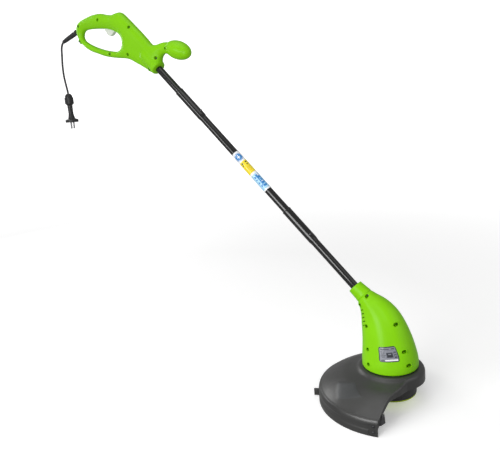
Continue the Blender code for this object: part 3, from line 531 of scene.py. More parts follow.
def shader_parts(name, colour, roughness, metallic=0.0):
    """Start a material and give its tree, its shader and its object coordinates."""
    material = bpy.data.materials.new(name)
    material.use_nodes = True
    tree = material.node_tree
    shader = tree.nodes["Principled BSDF"]
    shader.inputs["Base Color"].default_value = (*colour, 1)
    shader.inputs["Roughness"].default_value = roughness
    shader.inputs["Metallic"].default_value = metallic
    place = tree.nodes.new("ShaderNodeTexCoord").outputs["Object"]
    return material, tree, shader, place


def node(tree, kind, settings=None, **inputs):
    """Add a node with its properties and its inputs, which are values or sockets."""
    item = tree.nodes.new(kind)
    for key, value in (settings or {}).items():
        setattr(item, key, value)
    for key, value in inputs.items():
        socket = item.inputs[key.replace("_", " ")]
        if isinstance(value, bpy.types.NodeSocket):
            wire(tree, value, socket)
        else:
            socket.default_value = value
    return item


def noise_field(tree, place, scale, detail=3.0, stretch=(1, 1, 1), turn=(0, 0, 0)):
    """Add a noise pattern and give its value."""
    mapping = node(tree, "ShaderNodeMapping", Vector=place, Scale=stretch, Rotation=turn)
    noise = node(tree, "ShaderNodeTexNoise", Vector=mapping.outputs["Vector"], Scale=scale, Detail=detail)
    return noise.outputs["Fac"]


def remap(tree, value, low, high, from_low=0.3, from_high=0.7):
    """Turn a pattern's value into another range."""
    return node(tree, "ShaderNodeMapRange", Value=value, From_Min=from_low, From_Max=from_high,
                To_Min=low, To_Max=high).outputs["Result"]


def two_tone(tree, factor, first, second):
    """Mix two colours by a factor."""
    return node(tree, "ShaderNodeMix", {"data_type": "RGBA"}, A=(*first, 1), B=(*second, 1),
                Factor=factor).outputs["Result"]


def add_bump(tree, shader, layers):
    """Chain bump layers, each a (value, distance, strength), on the shader."""
    normal = None
    for value, distance, depth in layers:
        bump = node(tree, "ShaderNodeBump", Distance=distance, Strength=depth, Height=value)
        if normal is not None:
            wire(tree, normal, bump.inputs["Normal"])
        normal = bump.outputs["Normal"]
    wire(tree, normal, shader.inputs["Normal"])


def moulded_plastic(name, colour, roughness, grain=0.00012, mottle=0.06, gloss=0.4):
    """Injection-moulded plastic: spark-eroded grain, faint flow marks and handling shine."""
    material, tree, shader, place = shader_parts(name, colour, roughness)
    flow = noise_field(tree, place, 14, 2.0)
    grains = noise_field(tree, place, 950, 4.0)
    pebbles = noise_field(tree, place, 330, 2.0)
    shine = noise_field(tree, place, 34, 4.0)
    darker = tuple(c * (1 - mottle) for c in colour)
    lighter = tuple(min(c * (1 + mottle), 1) for c in colour)
    wire(tree, two_tone(tree, remap(tree, flow, 0, 1), darker, lighter), shader.inputs["Base Color"])
    wire(tree, remap(tree, shine, roughness - 0.05, roughness + 0.06), shader.inputs["Roughness"])
    add_bump(tree, shader, [(pebbles, grain * 1.5, 0.25), (grains, grain, 0.45)])
    shader.inputs["Specular IOR Level"].default_value = gloss
    return material


def guard_plastic(name, colour):
    """Grained guard plastic with a diamond badge on its rear shoulder, painted lighter as a painted sheen for
    its smooth raised panel, and a little bluer.
    """
    material = moulded_plastic(name, colour, 0.36, 0.00022, 0.10, 0.65)
    tree = material.node_tree
    shader = tree.nodes["Principled BSDF"]
    place = tree.nodes.new("ShaderNodeTexCoord").outputs["Object"]
    split = tree.nodes.new("ShaderNodeSeparateXYZ")
    wire(tree, place, split.inputs["Vector"])
    x, y = number(tree, "SUBTRACT", split.outputs["X"], HEAD.x), split.outputs["Y"]
    squares = (number(tree, "POWER", x, 2.0), number(tree, "POWER", y, 2.0))
    reach = number(tree, "SQRT", number(tree, "ADD", *squares))
    turn = number(tree, "ARCTAN2", y, x)
    aside = number(tree, "SUBTRACT", turn, BADGE_TURN)
    along = number(tree, "ABSOLUTE", number(tree, "MULTIPLY", aside, BADGE_REACH))
    away = number(tree, "ABSOLUTE", number(tree, "SUBTRACT", reach, BADGE_REACH))
    size = number(tree, "ADD", number(tree, "DIVIDE", along, BADGE_HALF[0]),
                  number(tree, "DIVIDE", away, BADGE_HALF[1]))
    # Painted sheen: over this diamond mask the badge is painted a fifth lighter, and a little bluer, than the
    # plastic round it
    mask = remap(tree, size, 1.0, 0.0, 0.96, 1.03)
    base = shader.inputs["Base Color"].links[0].from_socket
    tint = tuple(c * 1.20 + extra for c, extra in zip(colour, (0.0, 0.002, 0.005)))
    wire(tree, paint_over(tree, base, mask, tint), shader.inputs["Base Color"])
    return material


def coated_tube(name, colour):
    """Glossy stove-enamelled steel tube: orange peel, dust specks and long fine rub marks."""
    material, tree, shader, place = shader_parts(name, colour, 0.16)
    peel = noise_field(tree, place, 420, 2.0)
    rubs = noise_field(tree, place, 60, 5.0, (1.0, 16.0, 1.0), (0, SHAFT_TILT, 0))
    dust = noise_field(tree, place, 900, 2.0)
    worn = tuple(c * 1.9 + 0.004 for c in colour)
    wire(tree, two_tone(tree, remap(tree, dust, 0, 1, 0.60, 0.78), colour, worn), shader.inputs["Base Color"])
    wire(tree, remap(tree, rubs, 0.11, 0.24), shader.inputs["Roughness"])
    add_bump(tree, shader, [(peel, 0.00003, 0.15), (rubs, 0.00002, 0.12)])
    shader.inputs["Specular IOR Level"].default_value = 0.42
    shader.inputs["Coat Weight"].default_value = 0.25
    shader.inputs["Coat Roughness"].default_value = 0.07
    return material


def rubber(name, colour, roughness=0.52):
    """Satin cable rubber: fine skin, faint bloom."""
    material, tree, shader, place = shader_parts(name, colour, roughness)
    bloom = noise_field(tree, place, 70, 4.0)
    skin = noise_field(tree, place, 1500, 3.0)
    pale = tuple(c * 1.8 + 0.006 for c in colour)
    bloomed = two_tone(tree, remap(tree, bloom, 0, 1, 0.45, 0.75), colour, pale)
    wire(tree, bloomed, shader.inputs["Base Color"])
    wire(tree, remap(tree, bloom, roughness - 0.08, roughness + 0.1), shader.inputs["Roughness"])
    add_bump(tree, shader, [(skin, 0.00008, 0.35)])
    return material


def steel(name, colour, roughness, drawn=(1, 1, 14), stain=0.12):
    """Bright or blackened steel: drawn grain and slight staining."""
    material, tree, shader, place = shader_parts(name, colour, roughness, 1.0)
    grain = noise_field(tree, place, 260, 4.0, drawn)
    cloud = noise_field(tree, place, 45, 4.0)
    dull = tuple(c * (1 - 2.2 * stain) for c in colour)
    wire(tree, two_tone(tree, remap(tree, cloud, 0, 1, 0.4, 0.75), colour, dull), shader.inputs["Base Color"])
    wire(tree, remap(tree, grain, roughness - 0.07, roughness + 0.12), shader.inputs["Roughness"])
    add_bump(tree, shader, [(grain, 0.00004, 0.4)])
    return material


def nylon(name, colour):
    """Slightly translucent extruded nylon line."""
    material, tree, shader, place = shader_parts(name, colour, 0.33)
    streak = noise_field(tree, place, 300, 3.0)
    wire(tree, two_tone(tree, remap(tree, streak, 0, 1), tuple(c * 0.85 for c in colour), colour),
         shader.inputs["Base Color"])
    add_bump(tree, shader, [(streak, 0.00008, 0.3)])
    shader.inputs["Subsurface Weight"].default_value = 0.15
    shader.inputs["Subsurface Scale"].default_value = 0.002
    return material


def number(tree, operation, a, b=None):
    """Add a math node. Inputs are sockets or numbers."""
    item = tree.nodes.new("ShaderNodeMath")
    item.operation = operation
    for socket, value in zip(item.inputs, (a, b)):
        if isinstance(value, (int, float)):
            socket.default_value = value
        elif value is not None:
            wire(tree, value, socket)
    return item.outputs[0]


def block_mask(tree, u, v, centre, half):
    """Give 1 inside a rectangle of the label's own coordinates, and 0 outside."""
    within = []
    for value, middle, reach in zip((u, v), centre, half):
        offset = number(tree, "ABSOLUTE", number(tree, "SUBTRACT", value, middle))
        within.append(number(tree, "LESS_THAN", offset, reach))
    return number(tree, "MULTIPLY", *within)


def disc_mask(tree, u, v, centre, extent):
    """Give 1 inside a round spot of the label's own coordinates; extent is its radius and its stretch."""
    radius, stretch = extent
    across = number(tree, "POWER", number(tree, "SUBTRACT", u, centre[0]), 2.0)
    drop = number(tree, "DIVIDE", number(tree, "SUBTRACT", v, centre[1]), stretch)
    return number(tree, "LESS_THAN", number(tree, "ADD", across, number(tree, "POWER", drop, 2.0)),
                  radius * radius)


def paint_over(tree, base, mask, colour):
    """Lay a colour over another one where a mask is 1."""
    return node(tree, "ShaderNodeMix", {"data_type": "RGBA"}, A=base, B=(*colour, 1),
                Factor=mask).outputs["Result"]


def printed_film(name, ground, marks, roughness):
    """Printed label film with plain marks, each (kind, centre, extent, colour), laid in order."""
    material, tree, shader, place = shader_parts(name, ground, roughness)
    label_map = tree.nodes.new("ShaderNodeUVMap")
    label_map.uv_map = "Label"
    split = tree.nodes.new("ShaderNodeSeparateXYZ")
    wire(tree, label_map.outputs["UV"], split.inputs["Vector"])
    u, v = split.outputs["X"], split.outputs["Y"]
    grain = noise_field(tree, place, 700, 3.0)
    colour = two_tone(tree, remap(tree, grain, 0, 1), tuple(c * 0.96 for c in ground), ground)
    masks = {"block": block_mask, "disc": disc_mask}
    for kind, centre, extent, tint in marks:
        colour = paint_over(tree, colour, masks[kind](tree, u, v, centre, extent), tint)
    wire(tree, colour, shader.inputs["Base Color"])
    add_bump(tree, shader, [(grain, 0.00003, 0.25)])
    shader.inputs["Coat Weight"].default_value = 0.5
    shader.inputs["Coat Roughness"].default_value = 0.12
    return material


FINISHES = {}


def finish(name):
    """Give a finish by name, made once."""
    if name in FINISHES:
        return FINISHES[name]
    c = colours()
    recipes = {
        "lime shell": (moulded_plastic, c.lime, 0.33, 0.00009, 0.035, 0.15),
        "guard plastic": (guard_plastic, c.guard),
        "spool plastic": (moulded_plastic, c.guard, 0.46, 0.00014, 0.08),
        "black plastic": (moulded_plastic, c.black, 0.42, 0.00012, 0.10),
        "trigger plastic": (moulded_plastic, c.trigger, 0.40, 0.00010, 0.03),
        "cap plastic": (moulded_plastic, c.cap, 0.38, 0.00010, 0.05),
        "tube enamel": (coated_tube, c.tube),
        "lead rubber": (rubber, c.black),
        "boot rubber": (rubber, c.black, 0.58),
        "bright steel": (steel, (0.62, 0.62, 0.63), 0.26),
        "black screw steel": (steel, (0.10, 0.10, 0.105), 0.38, (1, 1, 1), 0.2),
        "blade steel": (steel, (0.13, 0.13, 0.135), 0.36, (1, 10, 1), 0.2),
        "motor steel": (steel, (0.50, 0.50, 0.51), 0.42, (1, 1, 10), 0.18),
        "line nylon": (nylon, c.line),
    }
    maker, colour, *rest = recipes[name]
    FINISHES[name] = maker(name, tuple(colour), *rest)
    return FINISHES[name]


# -------------------- geometry-node trees

def new_tree(name, inputs):
    """Start a geometry-node tree with named inputs, each (name, socket type, default)."""
    tree = bpy.data.node_groups.new(name, "GeometryNodeTree")
    tree.interface.new_socket("Geometry", in_out="INPUT", socket_type="NodeSocketGeometry")
    for label, kind, default in inputs:
        socket = tree.interface.new_socket(label, in_out="INPUT", socket_type=kind)
        if default is not None:
            socket.default_value = default
    tree.interface.new_socket("Geometry", in_out="OUTPUT", socket_type="NodeSocketGeometry")
    source = tree.nodes.new("NodeGroupInput")
    sink = tree.nodes.new("NodeGroupOutput")
    return tree, source, sink


def vector(tree, x=0.0, y=0.0, z=0.0):
    """Combine numbers or sockets into a vector."""
    return node(tree, "ShaderNodeCombineXYZ", X=x, Y=y, Z=z).outputs["Vector"]


def evenly(tree, count, first, last):
    """Give each point its own value, running evenly from the first to the last."""
    index = node(tree, "GeometryNodeInputIndex")
    return node(tree, "ShaderNodeMapRange", Value=index.outputs["Index"], To_Min=first, To_Max=last,
                From_Max=number(tree, "SUBTRACT", count, 1.0)).outputs["Result"]


def close_tree(tree, geometry, source, sink):
    """End a tree in Realize Instances and Set Material."""
    real = node(tree, "GeometryNodeRealizeInstances", Geometry=geometry)
    painted = node(tree, "GeometryNodeSetMaterial", Geometry=real.outputs["Geometry"],
                   Material=source.outputs["Finish"])
    smooth = node(tree, "GeometryNodeSetShadeSmooth", Geometry=painted.outputs["Geometry"])
    wire(tree, smooth.outputs["Geometry"], sink.inputs["Geometry"])


def screw_tree():
    """Pan-head screws with a cross recess, one on each point of the input."""
    tree, source, sink = new_tree("Screws", [
        ("Head Radius", "NodeSocketFloat", 0.0032), ("Head Height", "NodeSocketFloat", 0.0022),
        ("Shank Radius", "NodeSocketFloat", 0.0015), ("Shank Length", "NodeSocketFloat", 0.0145),
        ("Facing", "NodeSocketRotation", None), ("Finish", "NodeSocketMaterial", None)])
    out = source.outputs
    radius, height = out["Head Radius"], out["Head Height"]
    ball = node(tree, "GeometryNodeMeshUVSphere", Segments=24, Rings=16, Radius=1.0)
    dome = node(tree, "GeometryNodeTransform", Geometry=ball.outputs["Mesh"],
                Scale=vector(tree, radius, radius, height))
    cut = node(tree, "GeometryNodeMeshBoolean", {"operation": "DIFFERENCE", "solver": "EXACT"},
               Mesh_1=dome.outputs["Geometry"])
    long, thin = number(tree, "MULTIPLY", radius, 1.15), number(tree, "MULTIPLY", radius, 0.26)
    below = number(tree, "MULTIPLY", height, -1.0)
    # One block takes off the ball's lower half, and two bars cut the cross
    blocks = ((vector(tree, 0.02, 0.02, number(tree, "MULTIPLY", height, 2.0)), vector(tree, z=below)),
              (vector(tree, long, thin, height), vector(tree, z=height)),
              (vector(tree, thin, long, height), vector(tree, z=height)))
    for size, place in blocks:
        block = node(tree, "GeometryNodeMeshCube", Size=size)
        set_down = node(tree, "GeometryNodeTransform", Geometry=block.outputs["Mesh"], Translation=place)
        wire(tree, set_down.outputs["Geometry"], cut.inputs["Mesh 2"])
    shank = node(tree, "GeometryNodeMeshCylinder", Vertices=16, Radius=out["Shank Radius"],
                 Depth=out["Shank Length"])
    drop = number(tree, "MULTIPLY", out["Shank Length"], -0.5)
    shank_set = node(tree, "GeometryNodeTransform", Geometry=shank.outputs["Mesh"],
                     Translation=vector(tree, z=drop))
    joined = node(tree, "GeometryNodeJoinGeometry")
    wire(tree, shank_set.outputs["Geometry"], joined.inputs["Geometry"])
    wire(tree, cut.outputs["Mesh"], joined.inputs["Geometry"])
    placed = node(tree, "GeometryNodeInstanceOnPoints", Points=out["Geometry"],
                  Instance=joined.outputs["Geometry"], Rotation=out["Facing"])
    close_tree(tree, placed.outputs["Instances"], source, sink)
    return tree


RIB_SECTION = 0.19      # thickness of a rib before it is scaled, as a share of its radius


def ring_tree():
    """A row of round ribs along Z, shrinking evenly from the first to the last."""
    tree, source, sink = new_tree("Ribs", [
        ("Count", "NodeSocketInt", 9), ("Start", "NodeSocketFloat", 0.028), ("End", "NodeSocketFloat", 0.074),
        ("First Radius", "NodeSocketFloat", 0.006), ("Last Radius", "NodeSocketFloat", 0.005),
        ("Thickness", "NodeSocketFloat", 0.0011), ("Finish", "NodeSocketMaterial", None)])
    out = source.outputs
    line = node(tree, "GeometryNodeMeshLine", {"mode": "END_POINTS"}, Count=out["Count"],
                Start_Location=vector(tree, z=out["Start"]), Offset=vector(tree, z=out["End"]))
    circle = node(tree, "GeometryNodeCurvePrimitiveCircle", Resolution=40, Radius=1.0)
    section = node(tree, "GeometryNodeCurvePrimitiveCircle", Resolution=10, Radius=RIB_SECTION)
    hoop = node(tree, "GeometryNodeCurveToMesh", Curve=circle.outputs["Curve"],
                Profile_Curve=section.outputs["Curve"])
    size = evenly(tree, out["Count"], out["First Radius"], out["Last Radius"])
    thick = number(tree, "DIVIDE", out["Thickness"], RIB_SECTION)
    placed = node(tree, "GeometryNodeInstanceOnPoints", Points=line.outputs["Mesh"],
                  Instance=hoop.outputs["Mesh"], Scale=vector(tree, size, size, thick))
    close_tree(tree, placed.outputs["Instances"], source, sink)
    return tree


def slot_tree():
    """A slanting row of bars, used to cut vent slots."""
    tree, source, sink = new_tree("Vent Slots", [
        ("Count", "NodeSocketInt", 6), ("First", "NodeSocketVector", None),
        ("Last", "NodeSocketVector", None), ("Bar", "NodeSocketVector", None),
        ("Turn", "NodeSocketRotation", None), ("Finish", "NodeSocketMaterial", None)])
    out = source.outputs
    line = node(tree, "GeometryNodeMeshLine", {"mode": "END_POINTS"}, Count=out["Count"],
                Start_Location=out["First"], Offset=out["Last"])
    bar = node(tree, "GeometryNodeMeshCube", Size=out["Bar"])
    placed = node(tree, "GeometryNodeInstanceOnPoints", Points=line.outputs["Mesh"],
                  Instance=bar.outputs["Mesh"], Rotation=out["Turn"])
    close_tree(tree, placed.outputs["Instances"], source, sink)
    return tree


def coil_tree():
    """A wound wire spring along Z."""
    tree, source, sink = new_tree("Coil", [
        ("Turns", "NodeSocketFloat", 6.0), ("Radius", "NodeSocketFloat", 0.009),
        ("Height", "NodeSocketFloat", 0.014), ("Wire Radius", "NodeSocketFloat", 0.0006),
        ("Finish", "NodeSocketMaterial", None)])
    out = source.outputs
    spiral = node(tree, "GeometryNodeCurveSpiral", Resolution=36, Rotations=out["Turns"],
                  Start_Radius=out["Radius"], End_Radius=out["Radius"], Height=out["Height"])
    section = node(tree, "GeometryNodeCurvePrimitiveCircle", Resolution=10, Radius=out["Wire Radius"])
    wire_mesh = node(tree, "GeometryNodeCurveToMesh", Curve=spiral.outputs["Curve"],
                     Profile_Curve=section.outputs["Curve"], Fill_Caps=True)
    close_tree(tree, wire_mesh.outputs["Mesh"], source, sink)
    return tree


def rib_tree():
    """Straight ribs set round an axis, for the underside of the guard."""
    tree, source, sink = new_tree("Radial Ribs", [
        ("Count", "NodeSocketInt", 11), ("From", "NodeSocketFloat", -2.6), ("To", "NodeSocketFloat", 2.6),
        ("Middle Radius", "NodeSocketFloat", 0.09), ("Rib", "NodeSocketVector", None),
        ("Drop", "NodeSocketFloat", 0.2), ("Height", "NodeSocketFloat", 0.05),
        ("Finish", "NodeSocketMaterial", None)])
    out = source.outputs
    points = node(tree, "GeometryNodePoints", Count=out["Count"])
    rib = node(tree, "GeometryNodeMeshCube", Size=out["Rib"])
    leaned = node(tree, "GeometryNodeTransform", Geometry=rib.outputs["Mesh"],
                  Translation=vector(tree, out["Middle Radius"], 0.0, out["Height"]),
                  Rotation=vector(tree, y=out["Drop"]))
    turn = evenly(tree, out["Count"], out["From"], out["To"])
    facing = node(tree, "FunctionNodeEulerToRotation", Euler=vector(tree, z=turn))
    placed = node(tree, "GeometryNodeInstanceOnPoints", Points=points.outputs["Points"],
                  Instance=leaned.outputs["Geometry"], Rotation=facing.outputs["Rotation"])
    close_tree(tree, placed.outputs["Instances"], source, sink)
    return tree


TREES = {}


def grow(name, maker, points, values, matrix=None):
    """Run a tree on loose points and give the result as a plain mesh object, then set it in place."""
    if maker.__name__ not in TREES:
        TREES[maker.__name__] = maker()
    tree = TREES[maker.__name__]
    seed = bpy.data.meshes.new(name)
    seed.from_pydata([tuple(p) for p in points], [], [])
    item = add_object(name, seed)
    modifier = item.modifiers.new("Build", "NODES")
    modifier.node_group = tree
    for socket in tree.interface.items_tree:
        if socket.in_out == "INPUT" and socket.name in values:
            modifier[socket.identifier] = values[socket.name]
    freeze(item)
    if matrix is not None:
        item.data.transform(matrix)
    item.data.set_sharp_from_angle(angle=SHARP)
    return item


def screws(name, places, facing, form, replaced):
    """Make one group of like screws on the body; form is the head's radius and height, and the length."""
    head_radius, head_height, length = form
    steel_finish = finish("black screw steel")
    item = grow(name, screw_tree, places, {
        "Head Radius": head_radius, "Head Height": head_height, "Shank Radius": 0.0015,
        "Shank Length": length, "Facing": facing, "Finish": steel_finish})
    return finish_piece(item, steel_finish, "body", replaced)


# -------------------- handle

def knob_height(points):
    """Half thickness of the front knob at each point of the side view, before it is blended in."""
    offset = points - np.array(KNOB_CENTRE)
    c, s = math.cos(KNOB_TILT), math.sin(KNOB_TILT)
    along = (offset[:, 0] * c - offset[:, 1] * s) / KNOB_SEMI[0]
    across = (offset[:, 0] * s + offset[:, 1] * c) / KNOB_SEMI[2]
    return KNOB_SEMI[1] * np.sqrt(np.clip(1 - along ** 2 - across ** 2, 0, 1))


def knob_loop(steps=150):
    """Outline of the knob in the side view, turning the same way as the handle's."""
    c, s = math.cos(KNOB_TILT), math.sin(KNOB_TILT)
    points = []
    for i in range(steps):
        turn = -2 * math.pi * i / steps
        along, across = KNOB_SEMI[0] * math.cos(turn), KNOB_SEMI[2] * math.sin(turn)
        points.append((KNOB_CENTRE[0] + along * c + across * s, KNOB_CENTRE[1] - along * s + across * c))
    return np.array(points)


def even_loop(points):
    """Read a closed outline in millimetres as an array of even steps in metres."""
    return np.array([tuple(p) for p in smooth_loop(points, OUTLINE_STEP)])


def joined_outline():
    """Outline of the handle and its knob as one loop, with the inside corners eased."""
    handle = even_loop(HANDLE_OUTLINE)
    knob = knob_loop()
    hidden = inside(handle, knob)
    start = int(np.flatnonzero(hidden & ~np.roll(hidden, 1))[0])
    handle_run = np.roll(handle, -start, axis=0)[int(hidden.sum()):]
    covered = inside(knob, handle)
    start = int(np.flatnonzero(~covered & np.roll(covered, 1))[0])
    knob_run = np.roll(knob, -start, axis=0)[:int((~covered).sum())]
    loop = np.vstack([handle_run, knob_run])
    corners = (len(handle_run), 0)
    count = len(loop)
    for _ in range(14):
        smoother = (np.roll(loop, 1, axis=0) + np.roll(loop, -1, axis=0)) / 2
        for corner in corners:
            for k in range(-4, 4):
                i = (corner + k) % count
                loop[i] = smoother[i]
    return loop


def handle_height(points, edge_distance):
    """Half thickness of the handle at each point of the side view."""
    half = sizes().handle_half
    reach = sizes().handle_round
    x, z = points[:, 0], points[:, 1]
    slim_rear = 1 - 0.22 * ease(-(x - 0.012) / 0.090)
    slim_front = 1 - 0.09 * ease((x - 0.110) / 0.050)
    slim_arm = 1 - 0.10 * ease((x - 0.215) / 0.03)
    full = half * slim_rear * slim_front * slim_arm
    share = 1 - np.clip(edge_distance / reach, 0, 1)
    crown = (1 - share ** 2.4) ** (1 / 2.2)
    body = full * (0.10 + 0.90 * crown)
    body += 0.0010 * np.exp(-((x - 0.066) / 0.010) ** 2 - ((z + 0.006) / 0.014) ** 2)
    # The socket that takes the tube stands out as a rounded barrel with a round upper end
    down = np.array((math.cos(SHAFT_TILT), -math.sin(SHAFT_TILT)))
    top = np.array((TUBE_TOP[0], TUBE_TOP[2]))
    offset = points - top
    run = offset @ down
    aside = offset @ np.array((down[1], -down[0]))
    beyond = np.maximum(-0.056 - run, 0)
    barrel = 0.0196 ** 2 - aside ** 2 - (beyond * 1.15) ** 2
    barrel = np.sqrt(np.clip(barrel, 0, None)) * (1 - 0.35 * (1 - np.clip(edge_distance / 0.0035, 0, 1)) ** 2)
    body = np.where(run < 0.004, soft_max(body, barrel, 0.0014), body)
    # A shallow band round the mouth of the socket
    mouth = ease((run + 0.016) / 0.0012)
    body = body + 0.0007 * mouth * (np.abs(aside) < 0.019)
    return body


def rim_height(points):
    """Distance of the handle's edge from the split plane: low, but arched over the tube, boot and trigger."""
    rim = np.full(len(points), GAP / 2)
    down = np.array((math.cos(SHAFT_TILT), -math.sin(SHAFT_TILT)))
    boot = np.array((RELIEF_END[0] - RELIEF_START[0], RELIEF_END[2] - RELIEF_START[2]))
    boot /= np.linalg.norm(boot)
    arches = (((TUBE_TOP[0], TUBE_TOP[2]), down, sizes().tube_radius + GAP, -0.02),
              ((RELIEF_START[0], RELIEF_START[2]), boot, 0.0055, 0.0))
    for start, along, radius, first in arches:
        offset = points - np.array(start)
        aside = offset @ np.array((-along[1], along[0]))
        arch = np.sqrt(np.clip(radius ** 2 - aside ** 2, 0, None))
        rim = np.where(offset @ along > first, np.maximum(rim, arch), rim)
    x, z = points[:, 0], points[:, 1]
    share = np.clip((x - 0.0245) / 0.0025, 0, 1) * np.clip((0.0815 - x) / 0.0025, 0, 1)
    return np.where(z > -0.045, np.maximum(rim, 0.0067 * ease(share)), rim)


def between(points, loops):
    """Say which points lie inside the first outline and outside the second."""
    return inside(points, loops[0]) & ~inside(points, loops[1])


def nearest_edge(points, loops):
    """Give each point's distance to the nearer of two outlines."""
    return np.minimum(distance_to(points, loops[0]), distance_to(points, loops[1]))


def edge_rows(loops):
    """Rows of points that follow the handle's outline and its opening at growing depths."""
    rows = []
    for loop, sign in zip(loops, (-1, 1)):
        ahead = np.roll(loop, -1, axis=0) - np.roll(loop, 1, axis=0)
        inward = np.column_stack([-ahead[:, 1], ahead[:, 0]]) * sign
        inward /= np.linalg.norm(inward, axis=1)[:, None]
        if inside((loop + inward * 0.001)[:1], loop)[0] != (sign < 0):
            inward = -inward
        for depth in EDGE_DEPTHS:
            row = loop + inward * depth
            rows.append(row[between(row, loops) & (nearest_edge(row, loops) > depth * 0.97)])
    return rows


def plan_points(loops, wells):
    """Points of the side view that carry one side of the handle."""
    low, high = loops[0].min(axis=0), loops[0].max(axis=0)
    across, down = np.meshgrid(*(np.arange(a, b, FIELD_SPACING) for a, b in zip(low, high)))
    across[::2] += FIELD_SPACING / 2
    field = np.column_stack([across.ravel(), down.ravel()])
    field = field[between(field, loops)]
    field = field[nearest_edge(field, loops) > FIELD_MARGIN]
    inner = np.vstack([field, *edge_rows(loops)])
    turns = np.linspace(0, 2 * math.pi, 24, endpoint=False)
    circle = np.column_stack([np.cos(turns), np.sin(turns)])
    marks = []
    for well in wells:
        inner = inner[np.hypot(*(inner - well).T) > 0.0056]
        marks += [well + radius * circle for radius in WELL_RINGS]
        marks.append(well[None])
    return np.vstack([*loops, inner, *marks])


def plan_triangles(points, loops):
    """Join the points of the side view into triangles that keep to both outlines."""
    count, hole = len(loops[0]), len(loops[1])
    edges = [(i, (i + 1) % count) for i in range(count)]
    edges += [(count + i, count + (i + 1) % hole) for i in range(hole)]
    verts, _, faces, _, _, _ = delaunay_2d_cdt([Vector(p) for p in points], edges, [], 0, 1e-7)
    flat = np.array([tuple(v) for v in verts])
    triangles = np.array([f for f in faces if len(f) == 3])
    return flat, triangles[between(flat[triangles].mean(axis=1), loops)]


def side_height(flat, loops, wells):
    """Half thickness of the handle with its knob and screw bosses at each point of the side view."""
    only_handle = (even_loop(HANDLE_OUTLINE), loops[1])
    within = np.where(inside(flat, only_handle[0]), nearest_edge(flat, only_handle), 0)
    height = soft_max(handle_height(flat, within) * (within > 0), knob_height(flat), 0.0060)
    height = np.maximum(height, 0.0016)
    # The outlines' own points lie lower, so that the side rounds over into the rim
    height = np.where(nearest_edge(flat, loops) < 1e-6, np.maximum(height * 0.75, 0.0012), height)
    for well in wells:
        reach = np.hypot(*(flat - well).T)
        height = soft_max(height, WELL_TOP * ease((0.0086 - reach) / 0.0036), 0.0012)
        floor = reach <= WELL_RADIUS + 0.00005
        height[(reach < 0.0046) & ~floor] -= 0.0005
        height[floor] = SCREW_SEAT
    return height


def handle_side(name, half, replaced):
    """Make one half of the handle as a thin shell with rounded sides and screw wells."""
    loops = (joined_outline(), even_loop(OPENING_OUTLINE))
    wells = [np.array(place) * MM for place in HANDLE_SCREWS] if half < 0 else []
    flat, triangles = plan_triangles(plan_points(loops, wells), loops)
    bm = bmesh.new()
    points = [bm.verts.new((x, half * y, z)) for (x, z), y in zip(flat, side_height(flat, loops, wells))]
    for a, b, c in triangles:
        bm.faces.new((points[a], points[b], points[c]))
    for loose in [v for v in bm.verts if not v.link_faces]:
        bm.verts.remove(loose)
    calm = [v for v in bm.verts if not v.is_boundary
            and min((math.hypot(v.co.x - w[0], v.co.z - w[1]) for w in wells), default=1.0) > 0.0054]
    for _ in range(3):
        bmesh.ops.smooth_vert(bm, verts=calm, factor=0.5, use_axis_x=False, use_axis_y=True, use_axis_z=False)
    # The rim comes in from the open edges in two steps
    for share in (0.5, 1.0):
        rim = [e for e in bm.edges if len(e.link_faces) == 1]
        grown = bmesh.ops.extrude_edge_only(bm, edges=rim)["geom"]
        verts = [g for g in grown if isinstance(g, bmesh.types.BMVert)]
        lows = rim_height(np.array([(v.co.x, v.co.z) for v in verts]))
        for vert, low in zip(verts, lows):
            vert.co.y += (half * min(low, abs(vert.co.y) - 0.0002) - vert.co.y) * share
    item = thin_shell(name, bm, half, Vector((0.15, half * 0.017, -0.08)), sizes().wall)
    return finish_piece(item, finish("lime shell"), "body", replaced)


class TRIMMER_OT_handle(bpy.types.Operator):
    """Build both halves of the rear handle with its front knob"""

    bl_idname = "trimmer.handle"
    bl_label = "Handle"

    def execute(self, context):
        handle_side("handle_right_shell", -1, ["handle_half_right"])
        handle_side("handle_left_shell", 1, ["handle_half_left"])
        places = [(x * MM, -(SCREW_SEAT + GAP), z * MM) for x, z in HANDLE_SCREWS]
        screws("handle_screws", places, FACING_RIGHT, CASE_SCREW,
               [f"handle_screw_{n}" for n in range(1, len(places) + 1)])
        return {"FINISHED"}


